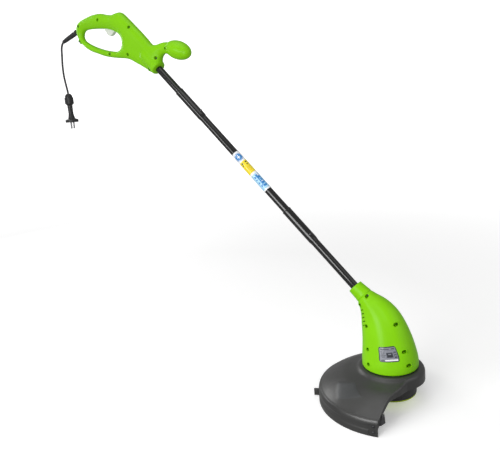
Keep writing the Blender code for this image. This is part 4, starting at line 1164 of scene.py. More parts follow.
class TRIMMER_OT_trigger(bpy.types.Operator):
    """Build the trigger, its pin, its spring and the switch inside the handle"""

    bl_idname = "trimmer.trigger"
    bl_label = "Trigger"

    def execute(self, context):
        outline = smooth_loop(TRIGGER_OUTLINE, 0.0022)
        bm = bmesh.new()
        levels = ((0.0022, 0.0060), (0.0010, 0.0057), (0.0003, 0.0050), (0.0, 0.0040))
        middle = Vector((0.052, -0.026))
        rows = []
        for depth, y in [(d, -y) for d, y in levels] + [(d, y) for d, y in reversed(levels)]:
            row = []
            for point in outline:
                inward = (middle - point).normalized() * depth
                row.append(bm.verts.new((point.x + inward.x, y, point.y + inward.y)))
            rows.append(row)
        grid_faces(bm, [list(column) for column in zip(*rows)], True)
        bm.faces.new(rows[0])
        bm.faces.new(list(reversed(rows[-1])))
        trigger = add_object("trigger_lever", mesh_from("trigger_lever", bm))
        bore = bmesh.new()
        out = Vector((0, 0.02, 0))
        add_rod(bore, TRIGGER_PIN - out, TRIGGER_PIN + out, 0.0028)
        boolean(trigger, add_object("bore", mesh_from("bore", bore)))
        finish_piece(trigger, finish("trigger plastic"), "trigger", ["trigger"])
        across = Matrix.Translation(TRIGGER_PIN) @ Matrix.Rotation(math.pi / 2, 4, "X")
        pin = turned("trigger_pin_turned", [(0, -0.014), (0.0024, -0.014), (0.0024, 0.014), (0, 0.014)],
                     28, across)
        finish_piece(pin, finish("bright steel"), "body", ["trigger_pin"])
        coil = grow("trigger_coil", coil_tree, [(0, 0, 0)], {
            "Turns": 4.0, "Radius": 0.0036, "Height": 0.0040, "Wire Radius": 0.00045,
            "Finish": finish("bright steel")}, Matrix.Translation((0, 0.0112, 0)) @ across)
        finish_piece(coil, finish("bright steel"), "body", ["trigger_spring"])
        switch = softened_box("switch_case", (0.043, 0, -0.0010), (0.032, 0.016, 0.0125), edge=0.0010)
        finish_piece(switch, finish("black plastic"), "body", ["power_switch"])
        return {"FINISHED"}


# -------------------- lead and plug

class TRIMMER_OT_lead(bpy.types.Operator):
    """Build the hanging lead, its strain relief, its plug and the plug's blades"""

    bl_idname = "trimmer.lead"
    bl_label = "Lead"

    def execute(self, context):
        radius = sizes().lead_radius
        route = smooth_path([Vector((x, 0, z)) * MM for x, z in LEAD_ROUTE], 2.2 * radius)
        curve = bpy.data.curves.new("lead", "CURVE")
        curve.dimensions = "3D"
        curve.bevel_depth = radius
        curve.bevel_resolution = 6
        curve.use_fill_caps = True
        spline = curve.splines.new("POLY")
        spline.points.add(len(route) - 1)
        for target, point in zip(spline.points, route):
            target.co = (*point, 1)
        lead = add_object("lead", curve)
        finish_piece(lead, finish("lead rubber"), "body", ["mains_lead"])
        plug = self.build_plug()
        for order, side in enumerate((1, -1), 1):
            place = PLUG_TOP + Vector((side * PLUG_BLADE_ASIDE, 0, -0.0930))
            blade = softened_box(f"plug_pin_{order}", place, (0.0016, 0.0064, 0.0250), edge=0.0005)
            finish_piece(blade, finish("bright steel"), "body", [f"plug_blade_{order}"])
        self.build_boot()
        return {"FINISHED"}

    def build_plug(self):
        """Make the plug's body with its finger grips and its wide front flange."""
        sections = [
            (4.3, 4.0, 0.3), (6.6, 6.0, 1.2), (8.6, 7.8, 3.0), (10.4, 9.0, 5.6), (11.6, 9.9, 8.6),
            (11.9, 10.1, 9.4), (11.2, 9.6, 10.2), (11.3, 9.6, 11.2), (12.4, 10.6, 12.4), (12.6, 10.8, 16),
            (12.6, 10.8, 28), (12.2, 10.5, 30.6), (9.6, 8.8, 33.0), (8.0, 7.7, 35.0), (7.3, 7.1, 38.0),
            (7.9, 7.6, 40.5), (7.1, 6.9, 43.0), (7.8, 7.5, 45.5), (7.0, 6.8, 48.0), (7.7, 7.4, 50.5),
            (6.9, 6.7, 53.0), (7.6, 7.3, 55.5), (7.0, 6.8, 58.5), (7.8, 7.4, 63), (8.9, 8.3, 68),
            (10.2, 9.3, 73.0), (11.6, 10.6, 75.6), (17.6, 16.0, 77.2), (19.2, 17.6, 78.2), (19.5, 17.9, 79.4),
            (19.5, 17.9, 84.8), (19.2, 17.6, 86.0), (18.4, 16.8, 86.5)]
        bm = bmesh.new()
        sides = 64
        rows = []
        for width, depth, height in sections:
            squareness = 0.62 if 11.5 < height < 31.5 else 0.85
            row = []
            for i in range(sides):
                turn = 2 * math.pi * i / sides
                c, s = math.cos(turn), math.sin(turn)
                x = width * MM * math.copysign(abs(c) ** squareness, c)
                y = depth * MM * math.copysign(abs(s) ** squareness, s)
                row.append(bm.verts.new(PLUG_TOP + Vector((x, y, -height * MM))))
            rows.append(row)
        for lower, upper in zip(rows, rows[1:]):
            for i in range(sides):
                k = (i + 1) % sides
                bm.faces.new((lower[i], lower[k], upper[k], upper[i]))
        bm.faces.new(rows[0])
        bm.faces.new(list(reversed(rows[-1])))
        plug = add_object("plug", mesh_from("plug", bm))
        slots = bmesh.new()
        for side in (-1, 1):
            add_box(slots, PLUG_TOP + Vector((side * PLUG_BLADE_ASIDE, 0, -0.0860)), (0.0022, 0.0070, 0.012))
            add_box(slots, PLUG_TOP + Vector((0, side * 0.0108, -0.0215)), (0.0150, 0.0010, 0.0130))
        boolean(plug, add_object("plug_cuts", mesh_from("plug_cuts", slots)))
        return finish_piece(plug, finish("black plastic"), "body", ["plug_body"])

    def build_boot(self):
        """Make the strain relief: a collar in the handle and a tapered boot with ribs."""
        along = RELIEF_END - RELIEF_START
        matrix = Matrix.Translation(RELIEF_START) @ along.to_track_quat("Z", "Y").to_matrix().to_4x4()
        long = along.length
        core = turned("boot", [
            (0, 0), (0.0051, 0), (0.0051, 0.0128), (0.0076, 0.0132), (0.0078, 0.0185), (0.0068, 0.0205),
            (0.0063, 0.0235), (0.0058, 0.0270), (0.0053, 0.0500), (0.0050, long - 0.0030),
            (0.0055, long - 0.0024), (0.0053, long + BOOT_OVER_LEAD), (0, long + BOOT_OVER_LEAD)],
            48, matrix, 0.0005)
        finish_piece(core, finish("boot rubber"), "body", ["strain_relief"])
        ribs = grow("boot_ribs", ring_tree, [(0, 0, 0)], {
            "Count": sizes().boot_ribs, "Start": 0.0275, "End": long - 0.0075, "First Radius": 0.0060,
            "Last Radius": 0.0052, "Thickness": 0.0011, "Finish": finish("boot rubber")}, matrix)
        finish_piece(ribs, finish("boot rubber"), "body")


# -------------------- tube

class TRIMMER_OT_tube(bpy.types.Operator):
    """Build the three tube sections, their spring buttons and the printed label"""

    bl_idname = "trimmer.tube"
    bl_label = "Tube"

    def execute(self, context):
        radius, wide = sizes().tube_radius, sizes().socket_radius
        inner, wide_inner = radius - 0.0012, wide - 0.0010
        matrix = tube_matrix()
        runs = (("upper_tube", -0.076, SOCKETS[0][1] - 0.004, None),
                ("middle_tube", None, SOCKETS[1][1] - 0.004, SOCKETS[0]),
                ("lower_tube", None, TUBE_RUN + 0.026, SOCKETS[1]))
        tubes = []
        for name, start, end, socket in runs:
            if socket is None:
                profile = [(inner, start), (radius, start), (radius, end), (inner, end)]
            else:
                low, high = socket
                profile = [
                    (wide_inner, low), (wide + 0.0004, low), (wide + 0.0004, low + 0.003),
                    (wide, low + 0.0042), (wide, high - 0.004), (wide - 0.0002, high),
                    (radius + 0.0003, high + 0.005), (radius, high + 0.009), (radius, end), (inner, end),
                    (inner, high + 0.006), (wide_inner, high)]
            tubes.append(turned(f"{name}_enamelled", profile, 72, matrix, 0.0003))
        for order, (socket, turn) in enumerate(zip(SOCKETS, BUTTON_TURNS), 1):
            seat = (matrix @ Matrix.Translation((0, 0, socket[1] - 0.013))
                    @ Matrix.Rotation(-turn - math.pi / 2, 4, "Z"))
            for tube in tubes[order - 1:order + 1]:
                hole = bmesh.new()
                add_rod(hole, seat @ Vector((0.002, 0, 0)), seat @ Vector((0.02, 0, 0)), 0.0035 + GAP, 32)
                boolean(tube, add_object("hole", mesh_from("hole", hole)))
            self.build_button(order, seat)
        for tube, (name, *_) in zip(tubes, runs):
            finish_piece(tube, finish("tube enamel"), "body", [name])
        self.build_label(matrix)
        return {"FINISHED"}

    def build_button(self, order, seat):
        """Make one spring button and the leaf spring that carries it."""
        body = ("button_upper", "button_lower")[order - 1]
        button = turned(f"spring_button_{order}", [
            (0, 0.0126), (0.0014, 0.0125), (0.0026, 0.0120), (0.0033, 0.0112), (0.0035, 0.0104),
            (0.0035, 0.0062), (0, 0.0062)], 32, seat @ Matrix.Rotation(math.pi / 2, 4, "Y"), 0.0003)
        finish_piece(button, finish("black screw steel"), body, [f"shaft_button_{order}"])
        bm = bmesh.new()
        leaf_box = Matrix.Translation((0.0055, 0, -0.011)) @ Matrix.Diagonal((0.0005, 0.0050, 0.0300, 1))
        bmesh.ops.create_cube(bm, size=1, matrix=seat @ leaf_box)
        bmesh.ops.bevel(bm, geom=bm.edges[:], offset=0.00015, segments=2, affect="EDGES")
        leaf = add_object(f"leaf_spring_{order}", mesh_from(f"leaf_spring_{order}", bm))
        finish_piece(leaf, finish("bright steel"), body, [f"button_spring_{order}"])

    def build_label(self, matrix):
        """Wrap the printed label round the tube, with plain blocks of colour."""
        start, end = LABEL_RUN
        outer, inner = sizes().tube_radius + 0.0006, sizes().tube_radius + GAP
        columns, rows = 48, 60
        bm = bmesh.new()
        layer = bm.loops.layers.uv.new("Label")
        shells = []
        for radius in (outer, inner):
            grid = []
            for i in range(columns + 1):
                turn = LABEL_MIDDLE + LABEL_SPREAD * (2 * i / columns - 1)
                grid.append([bm.verts.new(matrix @ Vector((
                    radius * math.cos(turn), radius * math.sin(turn), start + (end - start) * j / rows)))
                    for j in range(rows + 1)])
            shells.append(grid)
        close_film(bm, shells)
        places = {}
        for grid in shells:
            for i, column in enumerate(grid):
                for j, vert in enumerate(column):
                    places[vert] = (i / columns, 1 - j / rows)
        for face in bm.faces:
            for corner in face.loops:
                corner[layer].uv = places[corner.vert]
        label = add_object("printed_label", mesh_from("printed_label", bm))
        blue, pale, white = (0.03, 0.22, 0.55), (0.40, 0.68, 0.88), (0.88, 0.90, 0.92)
        yellow, amber, ink = (0.88, 0.72, 0.02), (0.62, 0.36, 0.02), (0.02, 0.02, 0.02)
        # A round pictogram, a warning block and an instruction block, with plain shapes for their print
        round_mark = [
            ("disc", (0.5, 0.875), (0.300, 0.288), blue), ("disc", (0.5, 0.875), (0.265, 0.288), white),
            ("disc", (0.5, 0.875), (0.245, 0.288), blue), ("block", (0.5, 0.868), (0.026, 0.034), white),
            ("block", (0.5, 0.876), (0.085, 0.009), white), ("disc", (0.5, 0.915), (0.040, 0.288), white)]
        warning = [
            ("block", (0.5, 0.605), (0.50, 0.155), yellow), ("block", (0.62, 0.715), (0.070, 0.016), ink),
            ("block", (0.34, 0.715), (0.090, 0.010), ink), ("block", (0.66, 0.670), (0.040, 0.014), ink),
            ("block", (0.36, 0.660), (0.050, 0.012), ink), ("block", (0.50, 0.610), (0.200, 0.004), amber),
            ("block", (0.46, 0.585), (0.160, 0.004), amber), ("block", (0.52, 0.560), (0.180, 0.004), amber),
            ("block", (0.48, 0.520), (0.140, 0.010), (0.80, 0.52, 0.02)),
            ("block", (0.50, 0.475), (0.190, 0.004), amber)]
        instruction = [
            ("block", (0.5, 0.215), (0.50, 0.190), pale), ("block", (0.38, 0.225), (0.120, 0.150), blue),
            ("block", (0.33, 0.365), (0.045, 0.030), white), ("block", (0.60, 0.330), (0.060, 0.022), blue),
            ("block", (0.62, 0.270), (0.050, 0.014), blue), ("block", (0.37, 0.270), (0.080, 0.006), pale),
            ("block", (0.40, 0.235), (0.070, 0.006), pale), ("block", (0.37, 0.200), (0.080, 0.006), white),
            ("block", (0.62, 0.190), (0.060, 0.016), blue), ("block", (0.60, 0.120), (0.070, 0.020), blue),
            ("block", (0.37, 0.130), (0.080, 0.010), pale), ("block", (0.5, 0.425), (0.50, 0.016), white),
            ("block", (0.5, 0.015), (0.50, 0.016), white)]
        marks = round_mark + warning + instruction
        film = printed_film("shaft label film", white, marks, 0.30)
        finish_piece(label, film, "body", ["shaft_label"])


# -------------------- motor housing

def housing_rows():
    """Give the housing's sections at even steps, with the collar's seam band."""
    rows = []
    for row in smooth_rows(HOUSING_STATIONS, 14):
        x, z, tilt, depth, width = row
        band = 0.9 * math.exp(-((z - COLLAR_SEAM) / 0.9) ** 2)
        swell = 0.7 * float(ease((z - COLLAR_SEAM) / 2.0))
        lip = -1.1 * math.exp(-((z - HOUSING_FOOT) / 1.2) ** 2)
        rows.append((x, z, tilt, depth - band + swell + lip, width - band + swell + lip))
    return rows


def housing_point(row, turn):
    """Point of the housing's surface; turn runs from the front, over the side, to the rear."""
    x, z, tilt, depth, width = row
    tilt = math.radians(tilt)
    c, s = math.cos(turn), math.sin(turn)
    # A soft crease runs down each side, and a shallow flute lies in front of it
    fade = float(ease((222 - z) / 40) * ease((z - 72) / 22))
    angle = math.degrees(abs(turn))
    crease = 1.5 * math.exp(-((angle - 84) / 13) ** 2) - 1.3 * math.exp(-((angle - 58) / 13) ** 2)
    grow_by = 1 + fade * crease / max(depth, width)
    along = depth * MM * c * grow_by
    across = width * MM * s * grow_by
    return HEAD + Vector((x * MM + along * math.cos(tilt), across, z * MM + along * math.sin(tilt)))


def housing_side(name, half, replaced):
    """Make one half of the motor housing with its vents and screw wells."""
    rows = [tuple(row) for row in housing_rows()]
    x, z, tilt, depth, width = rows[0]
    # The collar's end closes in to the hole that the tube goes through
    rows[:1] = [(x, z, tilt, TUBE_HOLE, TUBE_HOLE), (x, z, tilt, depth - 1.4, width - 1.4),
                (x + 0.1, z - 0.1, tilt, depth - 0.5, width - 0.5)]
    steps = 96
    bm = bmesh.new()
    grid = []
    for i in range(steps + 1):
        turn = half * math.pi * i / steps
        column = [housing_point(row, turn) for row in rows]
        if i in (0, steps):
            for point in column:
                point.y = half * GAP / 2
        grid.append([bm.verts.new(point) for point in column])
    grid_faces(bm, grid, False)
    item = thin_shell(name, bm, half, HEAD + Vector((0, half * 0.05, 0.12)), HOUSING_WALL)
    spots = [housing_point(row, half * VENT_TURN) for row in rows]
    upper, lower = (min(spots, key=lambda p: abs(p.z - HEAD.z - level)) for level in VENT_LEVELS)
    middle = min(rows, key=lambda row: abs(housing_point(row, VENT_TURN).z - HEAD.z - sum(VENT_LEVELS) / 2))
    spot = spots[rows.index(middle)]
    along = (housing_point(middle, half * (VENT_TURN + 0.1)) - spot).normalized()
    outward = (spot - HEAD - Vector((middle[0], 0, middle[1])) * MM).normalized()
    across = along.cross(outward).normalized()
    axes = Matrix((along, across.cross(along), across)).transposed()
    bars = grow("vent_bars", slot_tree, [(0, 0, 0)], {
        "Count": sizes().vent_slots, "First": upper, "Last": lower, "Bar": (0.0150, 0.0120, 0.0022),
        "Turn": tuple(axes.to_euler()), "Finish": finish("lime shell")})
    boolean(item, bars)
    if half < 0:
        surface = np.array([tuple(v.co) for v in item.data.vertices])
        posts, wells = bmesh.new(), bmesh.new()
        for x, z in HOUSING_SCREWS:
            place = HEAD + Vector((x * MM, 0, z * MM))
            near = surface[np.hypot(surface[:, 0] - place.x, surface[:, 2] - place.z) < 0.0065]
            top = float(np.sort(near[:, 1])[:max(3, len(near) // 3)].max())
            add_rod(posts, place + Vector((0, top + 0.0026, 0)), place + Vector((0, -0.0030, 0)), 0.0056, 32)
            seat = place + Vector((0, -SCREW_SEAT, 0))
            add_rod(wells, place + Vector((0, -0.10, 0)), seat, WELL_RADIUS, 32)
        boolean(item, add_object("posts", mesh_from("posts", posts)), "UNION")
        boolean(item, add_object("wells", mesh_from("wells", wells)))
    return finish_piece(item, finish("lime shell"), "body", replaced)


class TRIMMER_OT_housing(bpy.types.Operator):
    """Build both halves of the motor housing, its screws and its rating label"""

    bl_idname = "trimmer.housing"
    bl_label = "Motor Housing"

    def execute(self, context):
        housing_side("housing_right_shell", -1, ["motor_housing_right"])
        housing_side("housing_left_shell", 1, ["motor_housing_left"])
        places = [HEAD + Vector((x * MM, -(SCREW_SEAT + GAP), z * MM)) for x, z in HOUSING_SCREWS]
        screws("housing_screws", places, FACING_RIGHT, CASE_SCREW,
               [f"housing_screw_{n}" for n in range(1, len(places) + 1)])
        self.build_label()
        return {"FINISHED"}

    def build_label(self):
        """Make the rating label: a silver film with a dark border and plain grey bars."""
        rows = smooth_rows([HOUSING_STATIONS[k] for k in (6, 7, 8, 9)], 24)
        rows = [row for row in rows if 95.5 <= row[1] <= 126.5]
        columns = 48
        bm = bmesh.new()
        layer = bm.loops.layers.uv.new("Label")
        places = {}
        shells = []
        for lift in (0.55, 0.15):
            grid = []
            for i in range(columns + 1):
                column = []
                for j, row in enumerate(rows):
                    down = j / (len(rows) - 1)
                    share = i / columns
                    # The far edge slants outwards, and all four corners are cut
                    wide = 37 + 4.5 * min(down * 1.6, 1.0)
                    corner = 2.4 * max(0.0, 1 - min(down, 1 - down) / 0.10)
                    angle = -90.5 + corner + (wide - 2 * corner) * share
                    x, z, tilt, depth, width = row
                    point = housing_point((x, z, tilt, depth + lift, width + lift), math.radians(angle))
                    vert = bm.verts.new(point)
                    places[vert] = (share, 1 - down)
                    column.append(vert)
                grid.append(column)
            shells.append(grid)
        close_film(bm, shells)
        for face in bm.faces:
            for corner_loop in face.loops:
                corner_loop[layer].uv = places[corner_loop.vert]
        label = add_object("rating_film", mesh_from("rating_film", bm))
        dark, grey = (0.025, 0.028, 0.036), (0.06, 0.065, 0.085)
        silver, white = (0.24, 0.25, 0.29), (0.85, 0.86, 0.88)
        marks = [
            ("block", (0.5, 0.5), (0.455, 0.440), silver), ("block", (0.34, 0.850), (0.26, 0.030), grey),
            ("block", (0.80, 0.850), (0.10, 0.030), dark), ("block", (0.50, 0.770), (0.42, 0.008), grey),
            ("block", (0.56, 0.480), (0.17, 0.160), grey), ("block", (0.56, 0.480), (0.130, 0.120), dark),
            ("block", (0.56, 0.530), (0.08, 0.030), silver), ("block", (0.85, 0.480), (0.07, 0.200), grey)]
        marks += [("block", (0.85, level), (0.045, 0.040), silver) for level in (0.560, 0.420)]
        for k in range(6):
            marks.append(("block", (0.20 + 0.02 * (k % 2), 0.700 - 0.072 * k), (0.13 - 0.03 * (k % 3), 0.014),
                          (grey, dark)[k % 2]))
        marks += [("block", (0.62, 0.135), (0.32, 0.055), white),
                  ("block", (0.18, 0.135), (0.09, 0.040), grey)]
        film = printed_film("rating label film", dark, marks, 0.28)
        finish_piece(label, film, "body", ["rating_label"])


# -------------------- guard

DOME_ROWS = smooth_rows(DOME, 8)


def dome_height(radius):
    """Height of the guard's outer surface at a radius in metres."""
    table = np.array(DOME_ROWS)
    return float(np.interp(radius / MM, table[:, 0], table[:, 1])) * MM


EDGE_ROWS = smooth_rows(OPEN_EDGE, 8)


def guard_reach(turn):
    """Outer radius and lower edge of the guard at an angle from straight ahead."""
    angle = abs(math.degrees(turn))
    if turn > 0:
        angle *= OPEN_EDGE[-1][0] / LEFT_END
    rim = sizes().guard_radius
    if angle >= OPEN_EDGE[-1][0]:
        return rim, GUARD_RIM
    table = np.array(EDGE_ROWS)
    reach = min(float(np.interp(angle, table[:, 0], table[:, 1])) * MM, rim)
    return reach, min(NOSE_EDGE, dome_height(reach) - 0.006)


def panel_relief(x, y):
    """Height of the shallow rounded panel on the guard's right rear shoulder."""
    along = (math.atan2(y, x) - BADGE_TURN) * BADGE_REACH
    away = math.hypot(x, y) - BADGE_REACH
    size = abs(along) / BADGE_HALF[0] + abs(away) / BADGE_HALF[1]
    return 0.0009 * float(ease((1.0 - size) / 0.07 + 0.5))


def guard_outside(reach, edge):
    """Section of the guard's outside, over the dome, round the shoulder and down the skirt."""
    start = DOME[0][0] * MM
    profile = []
    for j in range(DOME_STEPS + 1):
        radius = start + (reach - ROUND_OVER - start) * j / DOME_STEPS
        profile.append((radius, dome_height(radius)))
    top = profile[-1][1]
    corner_top = max(dome_height(reach) - 0.9 * ROUND_OVER, edge + 0.0010)
    for j in range(1, ROUND_STEPS + 1):
        bend = math.pi / 2 * j / ROUND_STEPS
        profile.append((reach - ROUND_OVER + ROUND_OVER * math.sin(bend),
                        corner_top + (top - corner_top) * math.cos(bend)))
    for j in range(1, SKIRT_STEPS + 1):
        height = corner_top + (edge - corner_top) * j / SKIRT_STEPS
        step = SKIRT_STEP * (float(ease((-0.0035 - height) / 0.0012)) - 1) if edge < 0 else 0.0
        profile.append((reach + step, height))
    profile.append((profile[-1][0] - 0.0006, edge - 0.0004 * (edge > 0)))
    return profile


def guard_inside(outside, reach, edge):
    """Section of the guard's inside, with a point for each one of the outside."""
    start = DOME[0][0] * MM
    thin = []
    for k, (_, z) in enumerate(outside):
        if k <= DOME_STEPS:
            share = k / DOME_STEPS
            radius = start + (reach - GUARD_WALL - start) * share
            thin.append((radius, z - GUARD_WALL * (1.05 + 0.3 * share)))
        elif k <= DOME_STEPS + ROUND_STEPS:
            share = (k - DOME_STEPS) / ROUND_STEPS
            thin.append((reach - GUARD_WALL, min(z - GUARD_WALL * 1.2, thin[-1][1] - 0.0001 * share)))
        else:
            thin.append((reach - GUARD_WALL, min(z, thin[-1][1] - 0.00005)))
    return [(r, max(z, edge)) for r, z in thin]


class TRIMMER_OT_guard(bpy.types.Operator):
    """Build the guard, its screws, its underside ribs and the line cutter"""

    bl_idname = "trimmer.guard"
    bl_label = "Guard"

    def execute(self, context):
        self.build_dome()
        self.build_ribs()
        self.build_screws()
        self.build_cutter()
        return {"FINISHED"}

    def build_dome(self):
        """Make the dome with its nose, skirt, step line and rolled lip."""
        end = OPEN_EDGE[-1][0]
        turns = []
        for degrees in np.concatenate([
                np.arange(-180, -100, 2.0), np.arange(-100, -82, 1.5), np.arange(-82, -60, 0.5),
                np.arange(-60, 66, 1.5), np.arange(66, 100, 0.6), np.arange(100, 180, 2.0)]):
            turns.append(math.radians(float(degrees)))
        turns += [math.radians(-end - 0.02), math.radians(-end + 0.02), math.radians(LEFT_END - 0.02),
                  math.radians(LEFT_END + 0.02)]
        turns = sorted(set(turns))
        bm = bmesh.new()
        outer, inner = [], []
        for turn in turns:
            reach, edge = guard_reach(turn)
            c, s = math.cos(turn), math.sin(turn)
            outside = guard_outside(reach, edge)
            outer.append([bm.verts.new(HEAD + Vector((
                r * c, r * s, z + panel_relief(r * c, r * s)))) for r, z in outside])
            inner.append([bm.verts.new(HEAD + Vector((r * c, r * s, z)))
                          for r, z in guard_inside(outside, reach, edge)])
        grid_faces(bm, outer, True)
        grid_faces(bm, inner, True, flip=True)
        count = len(turns)
        for i in range(count):
            k = (i + 1) % count
            for j in (0, -1):
                bm.faces.new((outer[i][j], outer[k][j], inner[k][j], inner[i][j]))
        bmesh.ops.remove_doubles(bm, verts=bm.verts, dist=0.000002)
        guard = add_object("guard_dome", mesh_from("guard_dome", bm))
        hook = softened_box("hook", polar(0.1665, HOOK_TURN, -0.0085), (0.0170, 0.0050, 0.0165),
                            Matrix.Rotation(HOOK_TURN, 4, "Z"), 0.0011)
        boolean(guard, hook, "UNION")
        cuts = bmesh.new()
        for turn in GUARD_SCREW_TURNS:
            place = polar(GUARD_SCREW_RING, turn, 0)
            add_rod(cuts, place + Vector((0, 0, 0.05)), place + Vector((0, 0, 0.08)), 0.0019, 20)
        for height in BLADE_SCREW_HEIGHTS:
            add_rod(cuts, polar(0.175, BLADE_TURN, height), polar(0.150, BLADE_TURN, height), 0.0019, 20)
        # The blade's screws sit on a flat recessed pad
        add_box(cuts, polar(0.1665, BLADE_TURN, -0.0030), (0.0100, 0.0200, 0.0260),
                Matrix.Rotation(BLADE_TURN, 4, "Z"))
        boolean(guard, add_object("guard_cuts", mesh_from("guard_cuts", cuts)))
        finish_piece(guard, finish("guard plastic"), "body", ["guard"])

    def build_ribs(self):
        """Set stiffening ribs under the dome, behind the spool."""
        plastic = finish("guard plastic")
        ribs = grow("guard_ribs", rib_tree, [(0, 0, 0)], {
            "Count": 10, "From": math.radians(112), "To": math.radians(248), "Middle Radius": 0.0960,
            "Rib": (0.0420, 0.0016, 0.0080), "Drop": 0.32, "Height": 0.0455, "Finish": plastic},
            Matrix.Translation(HEAD))
        finish_piece(ribs, plastic, "body")

    def build_screws(self):
        """Make the screws that hold the guard and the line cutter."""
        places = [polar(GUARD_SCREW_RING, turn, GUARD_SCREW_SEAT) for turn in GUARD_SCREW_TURNS]
        screws("guard_screws", places, (math.pi, 0, 0), (0.0036, 0.0022, 0.0100),
               [f"guard_screw_{n}" for n in (1, 2, 3)])
        seat = 0.1615 + GAP
        places = [polar(seat, BLADE_TURN, height) for height in BLADE_SCREW_HEIGHTS]
        screws("blade_screws", places, (0, math.pi / 2, BLADE_TURN), (0.0030, 0.0020, 0.0062),
               ["blade_screw_1", "blade_screw_2"])

    def build_cutter(self):
        """Make the steel line cutter with its forward fin."""
        place = (Matrix.Translation(polar(sizes().guard_radius - GUARD_WALL - 0.0006, BLADE_TURN, 0))
                 @ Matrix.Rotation(BLADE_TURN, 4, "Z"))
        bm = bmesh.new()
        # The flat lies on the guard's wall, and the fin stands further in
        flat = [(-0.0065, -0.0140), (0.0085, -0.0140), (0.0085, 0.0080), (-0.0065, 0.0080)]
        fin = [(0.0074, -0.0010), (0.0130, 0.0010), (0.0215, 0.0090), (0.0208, 0.0190), (0.0195, 0.0300),
               (0.0150, 0.0240), (0.0105, 0.0165), (0.0074, 0.0100)]
        for outline, low, high in ((flat, -0.0014, -0.0002), (fin, -0.0124, -0.0112)):
            near = [bm.verts.new(place @ Vector((low, y, z))) for y, z in outline]
            far = [bm.verts.new(place @ Vector((high, y, z))) for y, z in outline]
            bm.faces.new(near)
            bm.faces.new(list(reversed(far)))
            for i in range(len(near)):
                k = (i + 1) % len(near)
                bm.faces.new((near[i], near[k], far[k], far[i]))
        blade = add_object("line_cutter", mesh_from("line_cutter", bm))
        leg = bmesh.new()
        bmesh.ops.create_cube(leg, size=1, matrix=place @ Matrix.Translation((-0.0065, 0.0079, 0.0030))
                              @ Matrix.Diagonal((0.0126, 0.0012, 0.0100, 1)))
        boolean(blade, add_object("leg", mesh_from("leg", leg)), "UNION")
        edge = blade.modifiers.new("Edges", "BEVEL")
        edge.width = 0.00018
        edge.segments = 2
        edge.limit_method = "ANGLE"
        freeze(blade)
        holes = bmesh.new()
        for height in BLADE_SCREW_HEIGHTS:
            add_rod(holes, place @ Vector((0.01, 0, height)), place @ Vector((-0.01, 0, height)), 0.0019, 20)
        boolean(blade, add_object("holes", mesh_from("holes", holes)))
        finish_piece(blade, finish("blade steel"), "body", ["line_cutter_blade"])


# -------------------- cutting head

class TRIMMER_OT_head(bpy.types.Operator):
    """Build the turning head: spool housing, cap, bump knob, eyelet, line and spring"""

    bl_idname = "trimmer.head"
    bl_label = "Cutting Head"

    def execute(self, context):
        matrix = Matrix.Translation(HEAD)
        r = sizes().spool_radius
        housing = turned("spool_case", [
            (0.0043, 0.0335), (0.0043, 0.0180), (0.0085, 0.0180), (0.0085, 0.0305), (r - 0.0028, 0.0305),
            (r - 0.0028, 0.0040), (r - 0.0010, 0.0040), (r, 0.0052), (r, 0.0085), (r - 0.0008, 0.0090),
            (r - 0.0008, 0.0104), (r, 0.0110), (r, 0.0262), (r - 0.0012, 0.0300), (r - 0.0030, 0.0322),
            (r - 0.0075, 0.0335)], 128, matrix, 0.0006)
        eye = bmesh.new()
        ends = [polar(reach, LINE_TURN, LINE_HEIGHT) for reach in (r + 0.01, r - 0.01)]
        add_rod(eye, *ends, 0.0037, 32)
        boolean(housing, add_object("eye", mesh_from("eye", eye)))
        finish_piece(housing, finish("spool plastic"), "cutting_head", ["spool_housing"])

        out = (Matrix.Translation(polar(r, LINE_TURN, LINE_HEIGHT)) @ Matrix.Rotation(LINE_TURN, 4, "Z")
               @ Matrix.Rotation(math.pi / 2, 4, "Y"))
        eyelet = turned("eyelet", [
            (0.0020, -0.0050), (0.0034, -0.0050), (0.0034, 0.0004), (0.0048, 0.0004), (0.0048, 0.0018),
            (0.0030, 0.0022), (0.0020, 0.0016)], 40, out, 0.0004)
        finish_piece(eyelet, finish("bright steel"), "cutting_head", ["line_eyelet"])
        line = turned("trimmer_line", [(0, -0.0070), (0.0009, -0.0070), (0.0009, 0.0860), (0, 0.0860)],
                      16, out, 0.0003)
        finish_piece(line, finish("line nylon"), "cutting_head", ["cutting_line"])

        cap = turned("spool_lid", [
            (0.0205, -0.0015), (0.0300, -0.0015), (0.0310, -0.0008), (0.0330, -0.0008), (0.0340, -0.0015),
            (0.0470, -0.0015), (0.0515, -0.0006), (0.0548, 0.0012), (0.0556, 0.0030), (0.0548, 0.0036),
            (0.0500, 0.0036), (0.0500, 0.0070), (0.0480, 0.0070), (0.0480, 0.0010), (0.0205, 0.0010)],
            112, matrix, 0.0005)
        finish_piece(cap, finish("cap plastic"), "cutting_head", ["spool_cap"])
        knob = turned("bump_button", [
            (0, -0.0100), (0.0150, -0.0100), (0.0174, -0.0090), (0.0188, -0.0066), (0.0190, -0.0020),
            (0.0186, -0.0014), (0.0186, -0.0004), (0.0190, 0.0002), (0.0190, 0.0040), (0.0070, 0.0040),
            (0.0070, 0.0085), (0, 0.0085)], 80, matrix, 0.0006)
        finish_piece(knob, finish("black plastic"), "bump_knob", ["bump_knob"])
        spring = grow("bump_coil", coil_tree, [(0, 0, 0)], {
            "Turns": 6.0, "Radius": 0.0097, "Height": 0.0124, "Wire Radius": 0.0006,
            "Finish": finish("bright steel")}, Matrix.Translation(HEAD + Vector((0, 0, 0.0108))))
        finish_piece(spring, finish("bright steel"), "cutting_head", ["bump_spring"])
        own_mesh(spring)
        return {"FINISHED"}


